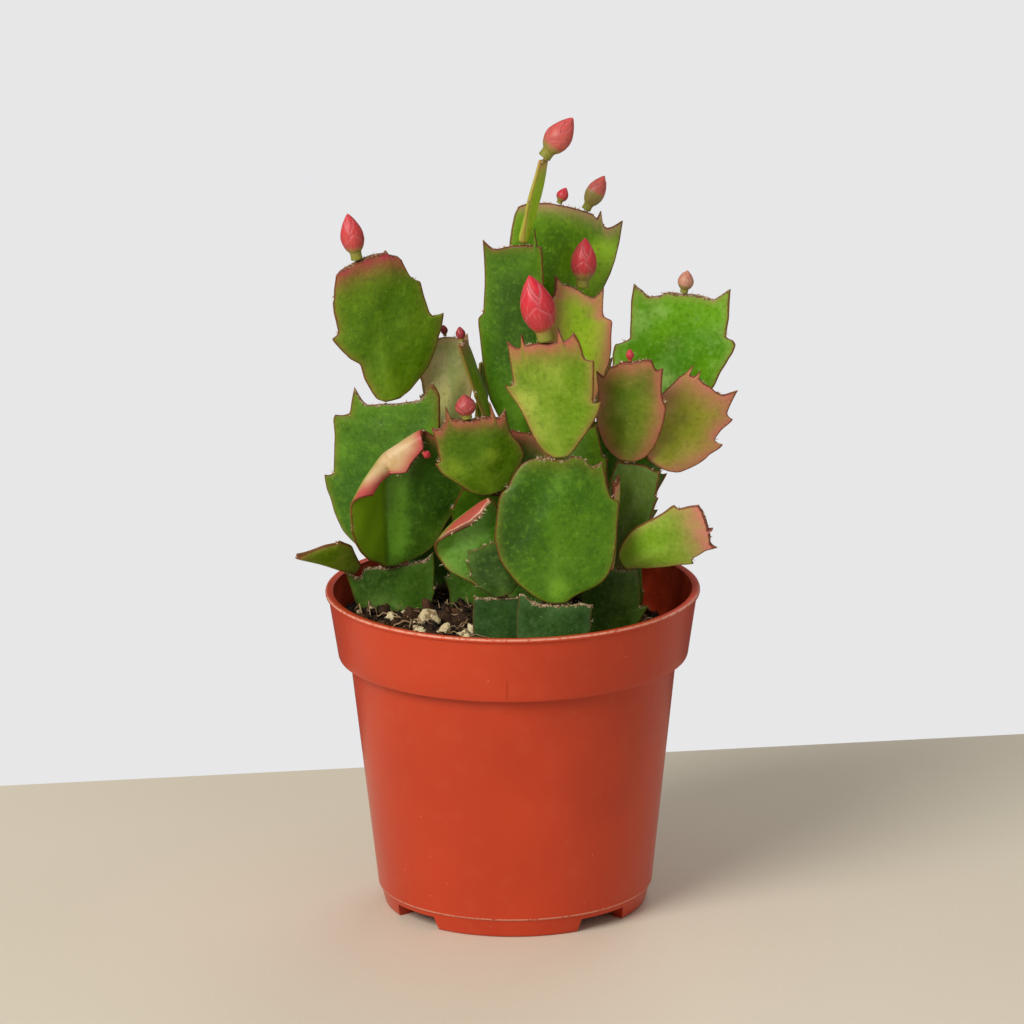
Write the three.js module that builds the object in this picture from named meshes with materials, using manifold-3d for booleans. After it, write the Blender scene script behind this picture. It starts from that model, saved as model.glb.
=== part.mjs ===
// A young Christmas cactus in a round plastic nursery pot: flat, toothed stem segments that grow from each
// other's tips, flower buds on the last ones, and potting mix with perlite in the pot.
// Millimetres, +Z up. The origin is the centre of the pot's foot on the table; -Y is the front.
import * as THREE from 'three';
import { mergeVertices } from 'three/addons/utils/BufferGeometryUtils.js';
import Module from 'manifold-3d';

const wasm = await Module();
wasm.setup();

// Driving dimensions of the pot
const POT = {
  height: 91,
  rimRadius: 52.5,
  bandBottomRadius: 49.1,
  bandBottom: 72,
  bodyTopRadius: 45.9,
  bodyBottomRadius: 38.7,
  footTop: 5.7,
  footTopRadius: 38.2,
  footBottomRadius: 37,
  footWidth: 4.6,
  underside: 3.6,
  floorTop: 5.2,
  wall: 1.3,
  lip: 2.2,
  lipHeight: 1.2,
  sides: 48,
};
const NOTCH = { width: 15.4, height: 3.9, anglesFromFront: [-49, 41, 131, 221] };
const DRAIN = { width: 9, depth: 5, radius: 31 };

// Driving dimensions of the potting mix
const SOIL = {
  level: 82, gap: 0.35, rings: 13, sectors: 36, roughness: 0.9,
  fall: { from: 4, over: 30, by: 6.4 },
};
const ROOTED = 13;

// Driving dimensions of a stem segment, shared by all of them
const SEGMENT = {
  neckHalfWidth: 1.7,
  neckThickness: 2.4,
  edgeThickness: 0.9,
  midThickness: 2.7,
  joint: 0.35,
  toothRise: 0.13,
  toothFall: 0.035,
  hornWidth: 0.3,
  spikeHalfWidth: 0.07,
};

const COLOURS = {
  pot: { color: 0xb5432b, roughness: 0.45 },
  soil: { color: 0x2c1e16, roughness: 0.95 },
  segment: { color: 0x4a7a22, roughness: 0.4 },
  youngSegment: { color: 0x8c9a3c, roughness: 0.4 },
  bud: { color: 0xc93c50, roughness: 0.35 },
};

const radians = THREE.MathUtils.degToRad;
const clamp = THREE.MathUtils.clamp;

// The value at t of a curve given as [place, value] corners.
function onCurve(corners, t) {
  const after = corners.findIndex(([place]) => place >= t);
  if (after === 0) return corners[0][1];
  if (after < 0) return corners[corners.length - 1][1];
  const [[a, from], [b, to]] = [corners[after - 1], corners[after]];
  return from + (to - from) * (t - a) / (b - a);
}

// Outlines
// belly: where along the length the segment is widest; foot: how fast it widens (lower is rounder);
// top: width at the tip as a share of the widest; dome: how far the tip's edge rises in its middle, in mm.
// leftEdge, rightEdge: a side's own curve instead, as [height above the foot, distance from the midline];
// tipEdge: the tip's curve, as [place across, -1 to 1, height above the foot].
// left, right: teeth as [place along the length, size in mm]; horns: the two corner teeth;
// crown: thorns on the tip's edge as [place across, -1 to 1, size in mm].
const PLAIN = {
  belly: 0.66, foot: 0.9, top: 0.8, dome: 2,
  left: [[0.45, 1.6], [0.75, 1.8]], right: [[0.35, 1.5], [0.66, 2]], horns: [2.2, 2.4], crown: [],
};
const OUTLINES = {
  plain: PLAIN,
  blunt: {
    ...PLAIN, belly: 0.6, foot: 0.55, top: 0.86, dome: 1.5,
    left: [[0.6, 1]], right: [[0.75, 1.2]], horns: [1, 1.4],
  },
  stub: {
    ...PLAIN, belly: 0.75, foot: 0.45, top: 0.9, dome: 1,
    left: [[0.72, 1.6]], right: [[0.6, 1.2]], horns: [1.6, 1],
  },
  narrow: {
    ...PLAIN, belly: 0.6, foot: 0.8, top: 0.8, dome: 1,
    left: [[0.5, 1]], right: [[0.62, 1]], horns: [1.8, 1.4],
  },
};

// The plant. Each segment stands in the mix at root, or on another's tip at a place across it from -1 to 1.
// grow is the vector from its base to its tip; face is the heading of its front, -90 being towards the front.
// out moves its foot that many mm towards the front or, below 0, the back of the tip it stands on.
// bow and cup bend it forward along and across its length, in degrees; folds bend one part of it over.
const SEGMENTS = [
  {
    name: 'left_1', root: [-29.5, 9], grow: [-4, -1, 27], wide: 25, face: -90,
    outline: {
      leftEdge: [[0, 1.7], [3, 6], [8, 9], [13, 10.2], [16.5, 11.8], [18, 12.4], [21.5, 12.7],
          [24.4, 12.9]],
      rightEdge: [[0, 1.7], [3, 5], [8, 7.5], [13.5, 8.5], [17.5, 9.8], [23.5, 11], [27.3, 11.3]],
      tipEdge: [[-1, 24.4], [-0.82, 24.2], [-0.72, 24.8], [-0.67, 26.8], [-0.2, 26.8], [-0.05, 26.3],
          [0.4, 26.3], [0.8, 26.8], [1, 27.3]],
      left: [], right: [[0.62, 0.5]], horns: [2.4, 1.4], crown: [],
    },
  },
  {
    name: 'left_2', on: 'left_1', at: -0.2, out: -1.3, grow: [4.5, 5, 45], wide: 33.5, face: -108, cup: -14,
    outline: {
      leftEdge: [[0, 1.7], [2, 6], [5, 10.5], [7, 13], [9.5, 14.7], [12, 16.2], [15, 17.4], [18, 18.6],
          [21, 18.8], [23, 17.4], [32, 18], [37.5, 17.6], [39.3, 13.8], [42, 13.3], [44.5, 12.5]],
      rightEdge: [[0, 1.7], [3, 6], [8, 10.5], [16, 13], [26, 14], [35, 13.3], [39, 12.7], [43, 12],
          [46.5, 11], [48.3, 8]],
      tipEdge: [[-1, 44.5], [-0.85, 43.6], [-0.7, 43.4], [-0.3, 44.4], [0, 45], [0.25, 45.6],
          [0.65, 46.4], [0.8, 46.8], [1, 48.3]],
      left: [[0.47, 1.5], [0.85, 1.6]], right: [[0.6, 1]], horns: [3.4, 4], crown: [],
    },
  },
  {
    name: 'left_3', on: 'left_2', at: -0.15, grow: [-7.5, -2, 42], wide: 30, face: -74, cup: -12, bow: 8,
    outline: {
      leftEdge: [[0, 1.7], [1, 4], [3.5, 5.1], [8, 6.5], [12.5, 6.8], [14.5, 9.3], [17.5, 11.1],
          [21, 12.6], [23, 11.2], [29, 11.4], [35.5, 10.3], [39.6, 9]],
      rightEdge: [[0, 1.7], [1, 5], [3.8, 8.9], [6.2, 11.8], [8.7, 13.8], [12.2, 16], [15.7, 17.3],
          [19, 17.2], [21.5, 15.4], [26.5, 14.7], [31, 14], [33.8, 11.5], [38.8, 9.9]],
      tipEdge: [[-1, 39.6], [-0.85, 40.8], [-0.3, 42.3], [0.2, 43], [0.55, 42.6], [0.7, 41.7],
          [0.9, 40.6], [1, 38.8]],
      left: [[0.53, 0.8], [0.8, 0.3]], right: [[0.48, 2.3], [0.8, 0.4]], horns: [0.1, 0.3],
      crown: [[0.6, 0.9]],
    },
  },
  {
    name: 'left_folded', on: 'left_1', at: -0.11, out: 1.8, grow: [1.5, -6, 42.5], wide: 35, face: -88,
    outline: {
      leftEdge: [[0, 1.7], [2.5, 5], [4, 8.6], [7.5, 12.5], [11, 15], [15, 16.5], [21, 17.4], [25, 17],
          [30, 15.4]],
      rightEdge: [[0, 1.7], [1.5, 5.5], [3, 9.5], [5.5, 12.7], [9, 14.6], [13, 16.5], [16, 18.7],
          [19, 20], [22, 20.8], [25, 20.4], [31, 18], [37, 14]],
      tipEdge: [[-1, 30], [-0.8, 32], [-0.65, 34.2], [-0.45, 38.6], [-0.27, 43.4], [-0.06, 43.4],
          [0.28, 44.6], [0.5, 42.5], [0.8, 39.5], [1, 37]],
      left: [[0.5, 0.5]], right: [[0.6, 0.5]], horns: [0.4, 0.4], crown: [],
    },
    folds: [
      { from: [1, 34], toward: 123, over: 5, by: 160 },
      { from: [1, 0], toward: 184, over: 2.5, by: 54 },
      { from: [1, 0], toward: 0, over: 18, by: -14 },
    ],
  },
  {
    name: 'left_low', on: 'left_1', at: -0.8, out: 1.8, grow: [-16.6, -11, 6.6], wide: 11, face: -121,
    outline: {
      leftEdge: [[0, 1.7], [1, 2], [5, 1.8], [9, 1.2], [12.5, 0.8], [17, 0.6], [20.5, 0.4]],
      rightEdge: [[0, 1.7], [2, 3.5], [4, 5.2], [6.5, 7.6], [8, 8], [11, 8], [13, 6.9], [15, 5.8],
          [17, 3.7], [19, 1.7], [20.5, 0.6]],
      tipEdge: [[-1, 20.5], [1, 20.5]],
      left: [], right: [[0.53, 0.6]], horns: [0.3, 0.8], crown: [],
    },
  },

  {
    name: 'front_1', root: [-4.5, -23.5], grow: [0, -1, 26], wide: 13, face: -90,
    outline: {
      belly: 0.75, foot: 0.45, top: 0.9, dome: 0.4,
      left: [[0.55, 1.2]], right: [], horns: [1, 0.6], crown: [],
    },
  },
  {
    name: 'front_2', root: [11, -30], grow: [0.5, 1, 25], wide: 20, face: -90,
    outline: {
      leftEdge: [[0, 1.7], [4, 6], [9, 9], [15, 10.2], [22, 10.3], [27.6, 9.6]],
      rightEdge: [[0, 1.7], [4, 6], [9, 8.4], [15, 9.6], [19, 9.8], [24, 10.3]],
      tipEdge: [[-1, 27.6], [-0.88, 28], [-0.76, 26.6], [-0.6, 25.4], [-0.3, 25.1], [0.5, 25],
          [0.72, 25.6], [1, 24]],
      left: [], right: [[0.8, 0.5]], horns: [0.3, 1.2], crown: [],
    },
  },
  {
    name: 'front_3', on: 'front_2', at: 0.1, grow: [-0.5, 4, 40], wide: 34, face: -88, cup: -14, bow: -6,
    outline: {
      leftEdge: [[0, 1.7], [1, 4.9], [3.3, 8.2], [5.6, 11], [8.2, 13], [11, 15], [13.2, 16],
          [18.5, 17.1], [26, 16.2], [29, 15.6], [31, 14.4], [32.5, 13], [35, 11.8], [37, 10.5],
          [38.5, 9]],
      rightEdge: [[0, 1.7], [1.2, 3.5], [2.2, 5], [3.2, 7.6], [4.2, 10.4], [5.8, 12.7], [8.2, 14.4],
          [11.5, 15.6], [16, 16.3], [22.5, 16.9], [27, 17], [28.8, 15.2], [31, 14.3], [34, 13.5],
          [37, 12.5]],
      tipEdge: [[-1, 38.5], [-0.78, 39.8], [-0.4, 40.4], [0, 39.7], [0.28, 39.6], [0.34, 40.6],
          [0.5, 40.5], [0.63, 39.6], [0.74, 38.2], [0.8, 37.2], [1, 37]],
      left: [[0.8, 0.3]], right: [[0.74, 0.6]], horns: [0.2, 2], crown: [],
    },
  },
  {
    name: 'front_4', on: 'front_3', at: 0.13, grow: [-5.8, -2, 32.5], wide: 24.6, face: -102,
    cup: -10, bow: -8,
    outline: {
      leftEdge: [[0, 1.7], [1.8, 4.1], [4.3, 5.7], [7.5, 6.8], [11.5, 7.8], [15, 8.9], [18, 10.1],
          [20.8, 10.7], [22.3, 9.5], [28, 9.2], [31.3, 8.6]],
      rightEdge: [[0, 1.7], [0.9, 3.4], [3.8, 6.2], [6.4, 8.7], [8.8, 10.8], [11, 12], [13.2, 12.4],
          [14.5, 11.6], [18, 12.4], [21, 13], [25.4, 13.1], [26.6, 11.1], [28.8, 10.8], [30.9, 9.8],
          [31.8, 8.7]],
      tipEdge: [[-1, 31.3], [-0.8, 31.6], [-0.6, 32.4], [0, 32.7], [0.3, 32.2], [0.6, 32.5], [0.88, 32],
          [1, 31.8]],
      left: [[0.665, 1.5]], right: [[0.41, 1.7], [0.795, 0.8]], horns: [2.8, 2.6],
      crown: [[-0.58, 3.2], [0.6, 3.9]],
    },
  },
  {
    name: 'front_curled', on: 'front_1', at: -0.1, out: -2.2, grow: [-11, -1.5, 27], wide: 21, face: -80,
    cup: -18,
    outline: {
      leftEdge: [[0, 1.7], [3, 3.5], [5.6, 5.2], [8.3, 7.5], [10.6, 9], [13.5, 9.9], [16.3, 10.4],
          [20, 10.3], [24, 9]],
      rightEdge: [[0, 1.7], [3, 4], [7, 7.5], [12, 9.5], [18, 10.5], [24, 10], [29, 7]],
      tipEdge: [[-1, 24], [-0.6, 27.5], [-0.2, 29.5], [0.3, 30], [1, 29]],
      left: [[0.5, 0.3]], right: [[0.35, 0.6]], horns: [0.4, 0.6], crown: [],
    },
    folds: [
      { from: [1, 21.4], toward: 86, over: 8, by: 76 },
      { from: [0, 20], toward: 122, over: 8, by: 80 },
    ],
  },
  {
    name: 'front_low', on: 'front_1', at: 0.4, out: 0.7, grow: [-4.5, 0.4, 14.5], wide: 14, face: -84,
    outline: {
      belly: 0.6, foot: 0.7, top: 0.8, dome: 1,
      left: [[0.3, 0.6], [0.55, 0.8], [0.82, 0.8]], right: [], horns: [1, 0.8], crown: [],
    },
  },

  { name: 'middle_1', root: [-11.5, 15], grow: [1, -3, 29], wide: 14, face: -90, outline: 'stub' },
  { name: 'middle_2', on: 'middle_1', at: 0.2, grow: [4.5, -19, 21], wide: 20, face: -90, outline: 'blunt' },
  {
    name: 'middle_3', on: 'middle_2', at: -0.1, out: 1, grow: [-4.5, -5, 22], wide: 23, face: -83, cup: -14,
    outline: {
      leftEdge: [[0, 1.7], [0.5, 3.5], [2, 6], [4.7, 8.2], [7, 10.2], [8.3, 11.6], [10, 12.6],
          [12.6, 12.8], [13.6, 11.9], [18.5, 11.8], [22.5, 11.8]],
      rightEdge: [[0, 1.7], [0.5, 4.5], [3.4, 7.1], [6, 9.4], [8.5, 11.1], [11.8, 10.8], [15.6, 9],
          [18.4, 8.4], [21.2, 8.2]],
      tipEdge: [[-1, 22.6], [-0.83, 22.5], [-0.78, 23.5], [-0.69, 25], [-0.56, 25.2], [-0.43, 24.7],
          [-0.12, 23.4], [0.26, 23.5], [0.65, 22.5], [0.77, 21.6], [1, 21.2]],
      left: [[0.54, 0.7]], right: [], horns: [1.2, 2.7], crown: [[-0.6, 4.2], [0.62, 4.6]],
    },
  },
  {
    name: 'middle_4', on: 'middle_2', at: 0.6, out: -2.8, grow: [5, 5, 13], wide: 14, face: -80,
    outline: 'blunt',
  },
  {
    name: 'middle_5', on: 'middle_1', at: -0.4, out: -2, grow: [-2, 9, 28], wide: 18, face: -90,
    outline: 'blunt',
  },
  { name: 'middle_6', on: 'middle_5', at: -0.3, grow: [-1, 3, 29], wide: 15, face: -70, outline: 'plain' },
  {
    name: 'middle_7', on: 'middle_5', at: 0.8, out: 1.4, grow: [1.5, -1, 22], wide: 8, face: -20,
    outline: 'narrow',
  },

  { name: 'centre_1', root: [8, 13], grow: [-1, 1, 29], wide: 18, face: -90, outline: 'stub' },
  { name: 'centre_2', on: 'centre_1', at: -0.3, grow: [-3.5, -9, 34], wide: 18, face: -90, outline: 'blunt' },
  {
    name: 'centre_3', on: 'centre_2', at: 0.25, grow: [-1, 3, 53.5], wide: 17.6, face: -106, cup: -10, bow: 6,
    outline: {
      leftEdge: [[0, 1.7], [4, 6], [10, 9], [18, 10.5], [26, 11.1], [31, 11.2], [33.3, 10.9],
          [34.5, 9.8], [37, 9.6], [46, 8.6], [52.4, 8]],
      rightEdge: [[0, 1.7], [4, 5], [10, 7], [20, 8.2], [39, 7.9], [52, 8], [53.6, 7.8]],
      tipEdge: [[-1, 52.4], [-0.83, 52.9], [-0.5, 53.2], [-0.3, 53.7], [0, 54.2], [0.5, 54.5],
          [0.86, 54], [1, 53.6]],
      left: [[0.62, 0.4]], right: [], horns: [3.2, 0.3], crown: [[0.8, 5]],
    },
  },
  {
    name: 'centre_4', on: 'centre_3', at: 0.36, grow: [5.8, 1, 22.8], wide: 13, face: -12,
    outline: 'narrow',
  },
  { name: 'centre_5', on: 'centre_2', at: -0.7, grow: [-9, 2, 27], wide: 13, face: -8, outline: 'narrow' },
  {
    name: 'centre_7', on: 'centre_1', at: 0.5, out: -1.6, grow: [3, 6, 53], wide: 20, face: -90,
    outline: 'blunt',
  },
  {
    name: 'centre_8', on: 'centre_7', at: -0.2, grow: [5.5, 2, 42], wide: 32, face: -76, cup: 12, bow: -8,
    outline: {
      leftEdge: [[0, 1.7], [6, 7], [14, 12], [22, 15.5], [31, 16.8], [35, 16.6], [39, 16.1], [41, 15.2]],
      rightEdge: [[0, 1.7], [5, 4.5], [12, 8], [20, 11.6], [24.3, 13.2], [28.5, 14.2], [33, 14.8],
          [37.5, 14.8]],
      tipEdge: [[-1, 41], [-0.93, 41.7], [-0.78, 42.4], [-0.43, 42.8], [0, 42.1], [0.2, 41.5],
          [0.43, 40.7], [0.52, 39.6], [0.61, 38.3], [0.75, 36.9], [0.85, 37], [1, 37.5]],
      left: [], right: [], horns: [0, 2], crown: [[0.6, 3.2]],
    },
  },

  {
    name: 'right_1', root: [27, -11], grow: [0.5, 1, 30], wide: 16, face: -90,
    outline: {
      belly: 0.75, foot: 0.45, top: 0.8, dome: 0.6,
      left: [], right: [[0.6, 2.4]], horns: [0.6, 0.8], crown: [],
    },
  },
  {
    name: 'right_2', on: 'right_1', at: -0.8, out: -2, grow: [-5.4, 17.6, 34.2], wide: 15, face: -90,
    outline: 'blunt',
  },
  {
    name: 'right_3', on: 'right_2', at: 0.1, grow: [1, 6, 37.5], wide: 17.6, face: -74, cup: -8,
    outline: {
      leftEdge: [[0, 1.7], [5, 5.5], [12, 7.5], [22, 8.6], [30, 8.4], [34, 7.8], [35.5, 6],
          [38.8, 5.4]],
      rightEdge: [[0, 1.7], [4, 4.5], [9, 7], [14, 8.7], [17.5, 10.1], [21, 10.6], [29, 10.4],
          [30.2, 7.9], [32, 7.7], [36.2, 7.5]],
      tipEdge: [[-1, 38.8], [-0.9, 39.5], [-0.55, 39.3], [0, 38.2], [0.23, 37], [0.55, 35.9],
          [0.67, 35.6], [0.82, 36.1], [1, 36.2]],
      left: [[0.87, 0.3]], right: [[0.8, 0.4]], horns: [3.2, 2.2], crown: [],
    },
  },
  {
    name: 'right_4', on: 'right_1', at: -0.1, out: 3.4, grow: [2, -3, 26], wide: 8, face: -12,
    outline: 'narrow',
  },
  {
    name: 'right_5', on: 'right_1', at: 0.5, out: 2.5, grow: [21.5, -9, 11], wide: 16, face: -70,
    outline: {
      leftEdge: [[0, 1.7], [1, 4.2], [4, 6.4], [7.5, 8.3], [10, 9], [13, 9.2], [16.5, 9.6], [20, 10.1],
          [22.8, 10.4], [24, 9.4], [27, 8.9], [29, 8]],
      rightEdge: [[0, 1.7], [2.5, 2.8], [6.3, 4.5], [10.4, 5.8], [14.7, 6.9], [17.8, 7.2], [19.2, 6.4],
          [21.4, 6.1], [23, 5.4], [25.4, 5.6]],
      tipEdge: [[-1, 29], [-0.74, 29.8], [-0.34, 29], [0, 28.1], [0.37, 27.4], [1, 25.4]],
      left: [[0.79, 0.8]], right: [[0.7, 0.9]], horns: [0.9, 1.9], crown: [[0.05, 1.3]],
    },
  },
  {
    name: 'right_6', on: 'right_1', at: 0.2, out: -0.6, grow: [7.5, 1, 28.5], wide: 15.5, face: -98, cup: 8,
    outline: {
      leftEdge: [[0, 1.7], [2, 4.2], [5, 5.8], [9, 7], [14, 7.7], [18, 7.7], [24, 7.4], [28, 6.7]],
      rightEdge: [[0, 1.7], [2, 3.6], [5, 4.8], [9, 5.6], [14, 6], [18, 6], [24, 5.6], [28, 5]],
      tipEdge: [[-1, 28], [-0.65, 28.8], [-0.3, 29.4], [0, 29.5], [0.3, 29.4], [0.65, 28.9], [1, 28]],
      left: [[0.6, 1]], right: [[0.75, 0.8]], horns: [1, 1.2], crown: [],
    },
  },
  {
    name: 'right_7', on: 'right_6', at: -0.65, out: 1.6, grow: [1.3, -5, 27], wide: 19.6, face: -104,
    cup: -18,
    outline: {
      leftEdge: [[0, 1.7], [0.6, 3.4], [1.8, 5.2], [3.6, 6.8], [6, 8], [9, 9.2], [12.5, 9.7],
          [16, 9.3], [19, 9.2], [23.2, 9.7]],
      rightEdge: [[0, 1.7], [0.6, 3.6], [2, 5.5], [4.3, 7], [7.5, 8.3], [10.7, 9.1], [13.8, 9.7],
          [17, 9.8], [18.6, 9.2], [21.3, 8.5], [26.6, 8]],
      tipEdge: [[-1, 23.2], [-0.8, 23.4], [-0.7, 25.7], [-0.62, 27.4], [-0.46, 27.8], [-0.35, 29.1],
          [0, 29.7], [0.45, 30.8], [0.65, 31.2], [0.72, 30], [0.8, 27.8], [1, 26.6]],
      left: [], right: [[0.66, 0.3]], horns: [2, 2.3], crown: [],
    },
  },
  {
    name: 'right_8', on: 'right_6', at: 0.45, out: -1.2, grow: [16, 6, 21], wide: 22.6, face: -84, cup: -12,
    outline: {
      leftEdge: [[0, 1.7], [4, 6], [9, 9], [14, 9.6], [17, 8.9], [19, 8.5], [23, 7.6]],
      rightEdge: [[0, 1.7], [0.5, 5], [2.1, 8], [4.6, 9.7], [7.4, 11.3], [10, 12.2], [14.2, 12.4],
          [15.2, 10.8], [18.4, 10.9], [21.8, 10.7], [23, 9.2], [27, 7.2]],
      tipEdge: [[-1, 23.1], [-0.88, 25.4], [-0.65, 25.9], [-0.46, 26.5], [-0.16, 26.1], [0.14, 26.4],
          [0.45, 26.2], [0.7, 26.6], [0.88, 27.2], [1, 27]],
      left: [], right: [[0.53, 1.8], [0.81, 1.4]], horns: [0.5, 3.2], crown: [[-0.84, 3], [-0.5, 2]],
    },
  },
  { name: 'right_9', root: [34, 3], grow: [-0.5, 1, 30], wide: 10, face: -30, outline: 'stub' },
  { name: 'right_10', on: 'right_9', at: 0, grow: [5, 9.5, 33], wide: 10, face: -80, outline: 'plain' },
  {
    name: 'right_11', on: 'right_10', at: 0.28, grow: [7, 2, 36], wide: 29.6, face: -102, cup: 12, bow: 6,
    outline: {
      leftEdge: [[0, 1.7], [3, 6], [8, 11], [14, 14], [18, 14.6], [20.5, 14.2], [22.2, 12.2],
          [23.4, 10.6], [25, 11], [33, 12], [36.3, 11.6]],
      rightEdge: [[0, 1.7], [3, 6], [8, 11], [15.4, 15], [19.7, 16], [22.6, 17.2], [26, 18.2],
          [28.3, 18.2], [29.3, 15.7], [35, 15.5], [40.8, 13.8]],
      tipEdge: [[-1, 36.2], [-0.82, 37.2], [-0.73, 36.7], [-0.63, 36.4], [-0.4, 37.3], [-0.22, 38.8],
          [0.05, 39], [0.34, 39.7], [0.53, 39.8], [0.78, 39.5], [0.88, 40.3], [1, 40.8]],
      left: [[0.57, 0.5]], right: [[0.705, 0.9]], horns: [3, 3], crown: [],
    },
  },

  {
    name: 'back_1', on: 'centre_1', at: 0.7, out: -4.6, grow: [14, 14, 30], wide: 24, face: 62, cup: 14,
    outline: 'plain',
  },
  {
    name: 'back_2', on: 'back_1', at: 0.55, grow: [-8, 5, 29], wide: 20, face: 108, cup: 10, bow: -8,
    outline: 'plain',
  },
  {
    name: 'back_3', on: 'centre_1', at: -0.7, out: -2.6, grow: [-4, 16, 29], wide: 17, face: 118, cup: 12,
    outline: 'plain',
  },
  { name: 'back_4', root: [-19, 29], grow: [-2, 2, 28], wide: 19, face: 75, outline: 'stub' },
  {
    name: 'back_5', on: 'back_4', at: -0.2, grow: [-4, 6, 28], wide: 24, face: 112, cup: 14, bow: 8,
    outline: 'plain',
  },
  { name: 'back_6', root: [21, 29], grow: [1, 2, 26], wide: 18, face: 110, outline: 'stub' },
  {
    name: 'back_7', on: 'back_6', at: 0.2, grow: [5, 8, 30], wide: 25, face: 74, cup: 12, bow: 6,
    outline: 'blunt',
  },
];

// Flower buds: on a segment's tip at a place across it; grow is the whole bud from its foot to its point.
const BUDS = [
  { name: 'bud_left', on: 'left_3', at: -0.28, grow: [-2.5, 0, 13], wide: 6.3 },
  { name: 'bud_left_folded', on: 'left_folded', at: 0.2, grow: [2.2, -1, -1], wide: 2.2 },
  { name: 'bud_front', on: 'front_4', at: 0.18, grow: [-4.5, -1, 18.5], wide: 9.2 },
  { name: 'bud_middle', on: 'middle_3', at: -0.17, grow: [-0.8, -0.5, 6.8], wide: 5.6 },
  { name: 'bud_middle_back', on: 'middle_6', at: 0, grow: [-0.5, 0, 3.2], wide: 2 },
  { name: 'bud_top', on: 'centre_4', at: 0, grow: [8, 0, 11], wide: 7.2 },
  { name: 'bud_slim', on: 'centre_5', at: 0, grow: [-0.6, 0, 4.2], wide: 2.7 },
  { name: 'bud_back_small', on: 'centre_8', at: -0.22, grow: [2, 0, 4.4], wide: 3.2 },
  { name: 'bud_back', on: 'centre_8', at: 0.31, grow: [5.3, 0, 9.6], wide: 5.2 },
  { name: 'bud_right_front', on: 'right_3', at: 0.24, grow: [0.8, 0, 14.2], wide: 7.1 },
  { name: 'bud_right_small', on: 'right_7', at: -0.07, grow: [0, 0, 3.4], wide: 2.2 },
  { name: 'bud_right', on: 'right_11', at: 0.13, grow: [1, 0, 6.4], wide: 4.3 },
];
const BUD = { neckShare: 0.2, neckHalfWidth: 0.28, sides: 10, tepals: 5, step: 0.06 };

// A solid of manifold-3d from a closed geometry, and back
function solidFrom(geometry) {
  const bare = geometry.clone();
  bare.deleteAttribute('normal');
  bare.deleteAttribute('uv');
  const merged = mergeVertices(bare, 1e-4);
  return new wasm.Manifold(new wasm.Mesh({
    numProp: 3,
    vertProperties: new Float32Array(merged.attributes.position.array),
    triVerts: new Uint32Array(merged.index.array),
  }));
}

function geometryFrom(solid) {
  const mesh = solid.getMesh();
  const geometry = new THREE.BufferGeometry();
  geometry.setAttribute('position', new THREE.BufferAttribute(new Float32Array(mesh.vertProperties), 3));
  geometry.setIndex(new THREE.BufferAttribute(new Uint32Array(mesh.triVerts), 1));
  geometry.computeVertexNormals();
  return geometry;
}

function geometryOf(points, triangles) {
  const geometry = new THREE.BufferGeometry().setFromPoints(points);
  geometry.setIndex(triangles);
  geometry.computeVertexNormals();
  return geometry;
}

function meshOf(name, geometry, colour, pose) {
  const mesh = new THREE.Mesh(geometry, new THREE.MeshStandardMaterial({ ...colour, metalness: 0 }));
  mesh.name = name;
  if (pose) pose.decompose(mesh.position, mesh.quaternion, mesh.scale);
  return mesh;
}

// A body turned round Z from a profile of [radius, height] points.
function turned(profile, sides) {
  const geometry = new THREE.LatheGeometry(profile.map(([r, z]) => new THREE.Vector2(r, z)), sides);
  return geometry.rotateX(Math.PI / 2);
}

// The pot: a thin moulded shell with a stepped band under its rim and a notched foot
function innerRadius(height) {
  const bandInside = POT.bandBottom + POT.wall;
  if (height > bandInside) {
    const share = (height - bandInside) / (POT.height - bandInside);
    return THREE.MathUtils.lerp(POT.bandBottomRadius - POT.wall, POT.rimRadius - POT.lip, share);
  }
  const share = (height - POT.footTop) / (POT.bandBottom - POT.footTop);
  return THREE.MathUtils.lerp(POT.bodyBottomRadius - POT.wall, POT.bodyTopRadius - POT.wall, share);
}

function potGeometry() {
  const footInside = POT.footBottomRadius - POT.footWidth;
  const bandInside = POT.bandBottom + POT.wall;
  const profile = [
    [0, POT.underside],
    [footInside, POT.underside],
    [footInside + 0.3, 0],
    [POT.footBottomRadius - 0.6, 0],
    [POT.footBottomRadius, 0.6],
    [POT.footTopRadius, POT.footTop - 0.2],
    [POT.bodyBottomRadius, POT.footTop],
    [POT.bodyTopRadius, POT.bandBottom],
    [POT.bandBottomRadius, POT.bandBottom],
    [POT.rimRadius - 0.7, POT.height - POT.lipHeight],
    [POT.rimRadius, POT.height - POT.lipHeight + 0.3],
    [POT.rimRadius, POT.height - 0.2],
    [POT.rimRadius - 0.3, POT.height],
    [POT.rimRadius - POT.lip, POT.height],
    [POT.bandBottomRadius - POT.wall, bandInside],
    [innerRadius(POT.bandBottom), bandInside],
    [innerRadius(POT.floorTop + 1.5), POT.floorTop + 1.5],
    [innerRadius(POT.floorTop) - 1.5, POT.floorTop],
    [0, POT.floorTop],
  ];
  let shell = solidFrom(turned(profile, POT.sides));
  for (const angle of NOTCH.anglesFromFront) {
    const notch = new THREE.BoxGeometry(NOTCH.width, 12, NOTCH.height + 1)
      .translate(0, -POT.footBottomRadius, (NOTCH.height - 1) / 2);
    const drain = new THREE.BoxGeometry(DRAIN.width, DRAIN.depth, 12).translate(0, -DRAIN.radius, 0);
    for (const cutter of [notch, drain]) {
      shell = shell.subtract(solidFrom(cutter.rotateZ(radians(angle))));
    }
  }
  return geometryFrom(shell);
}

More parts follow.
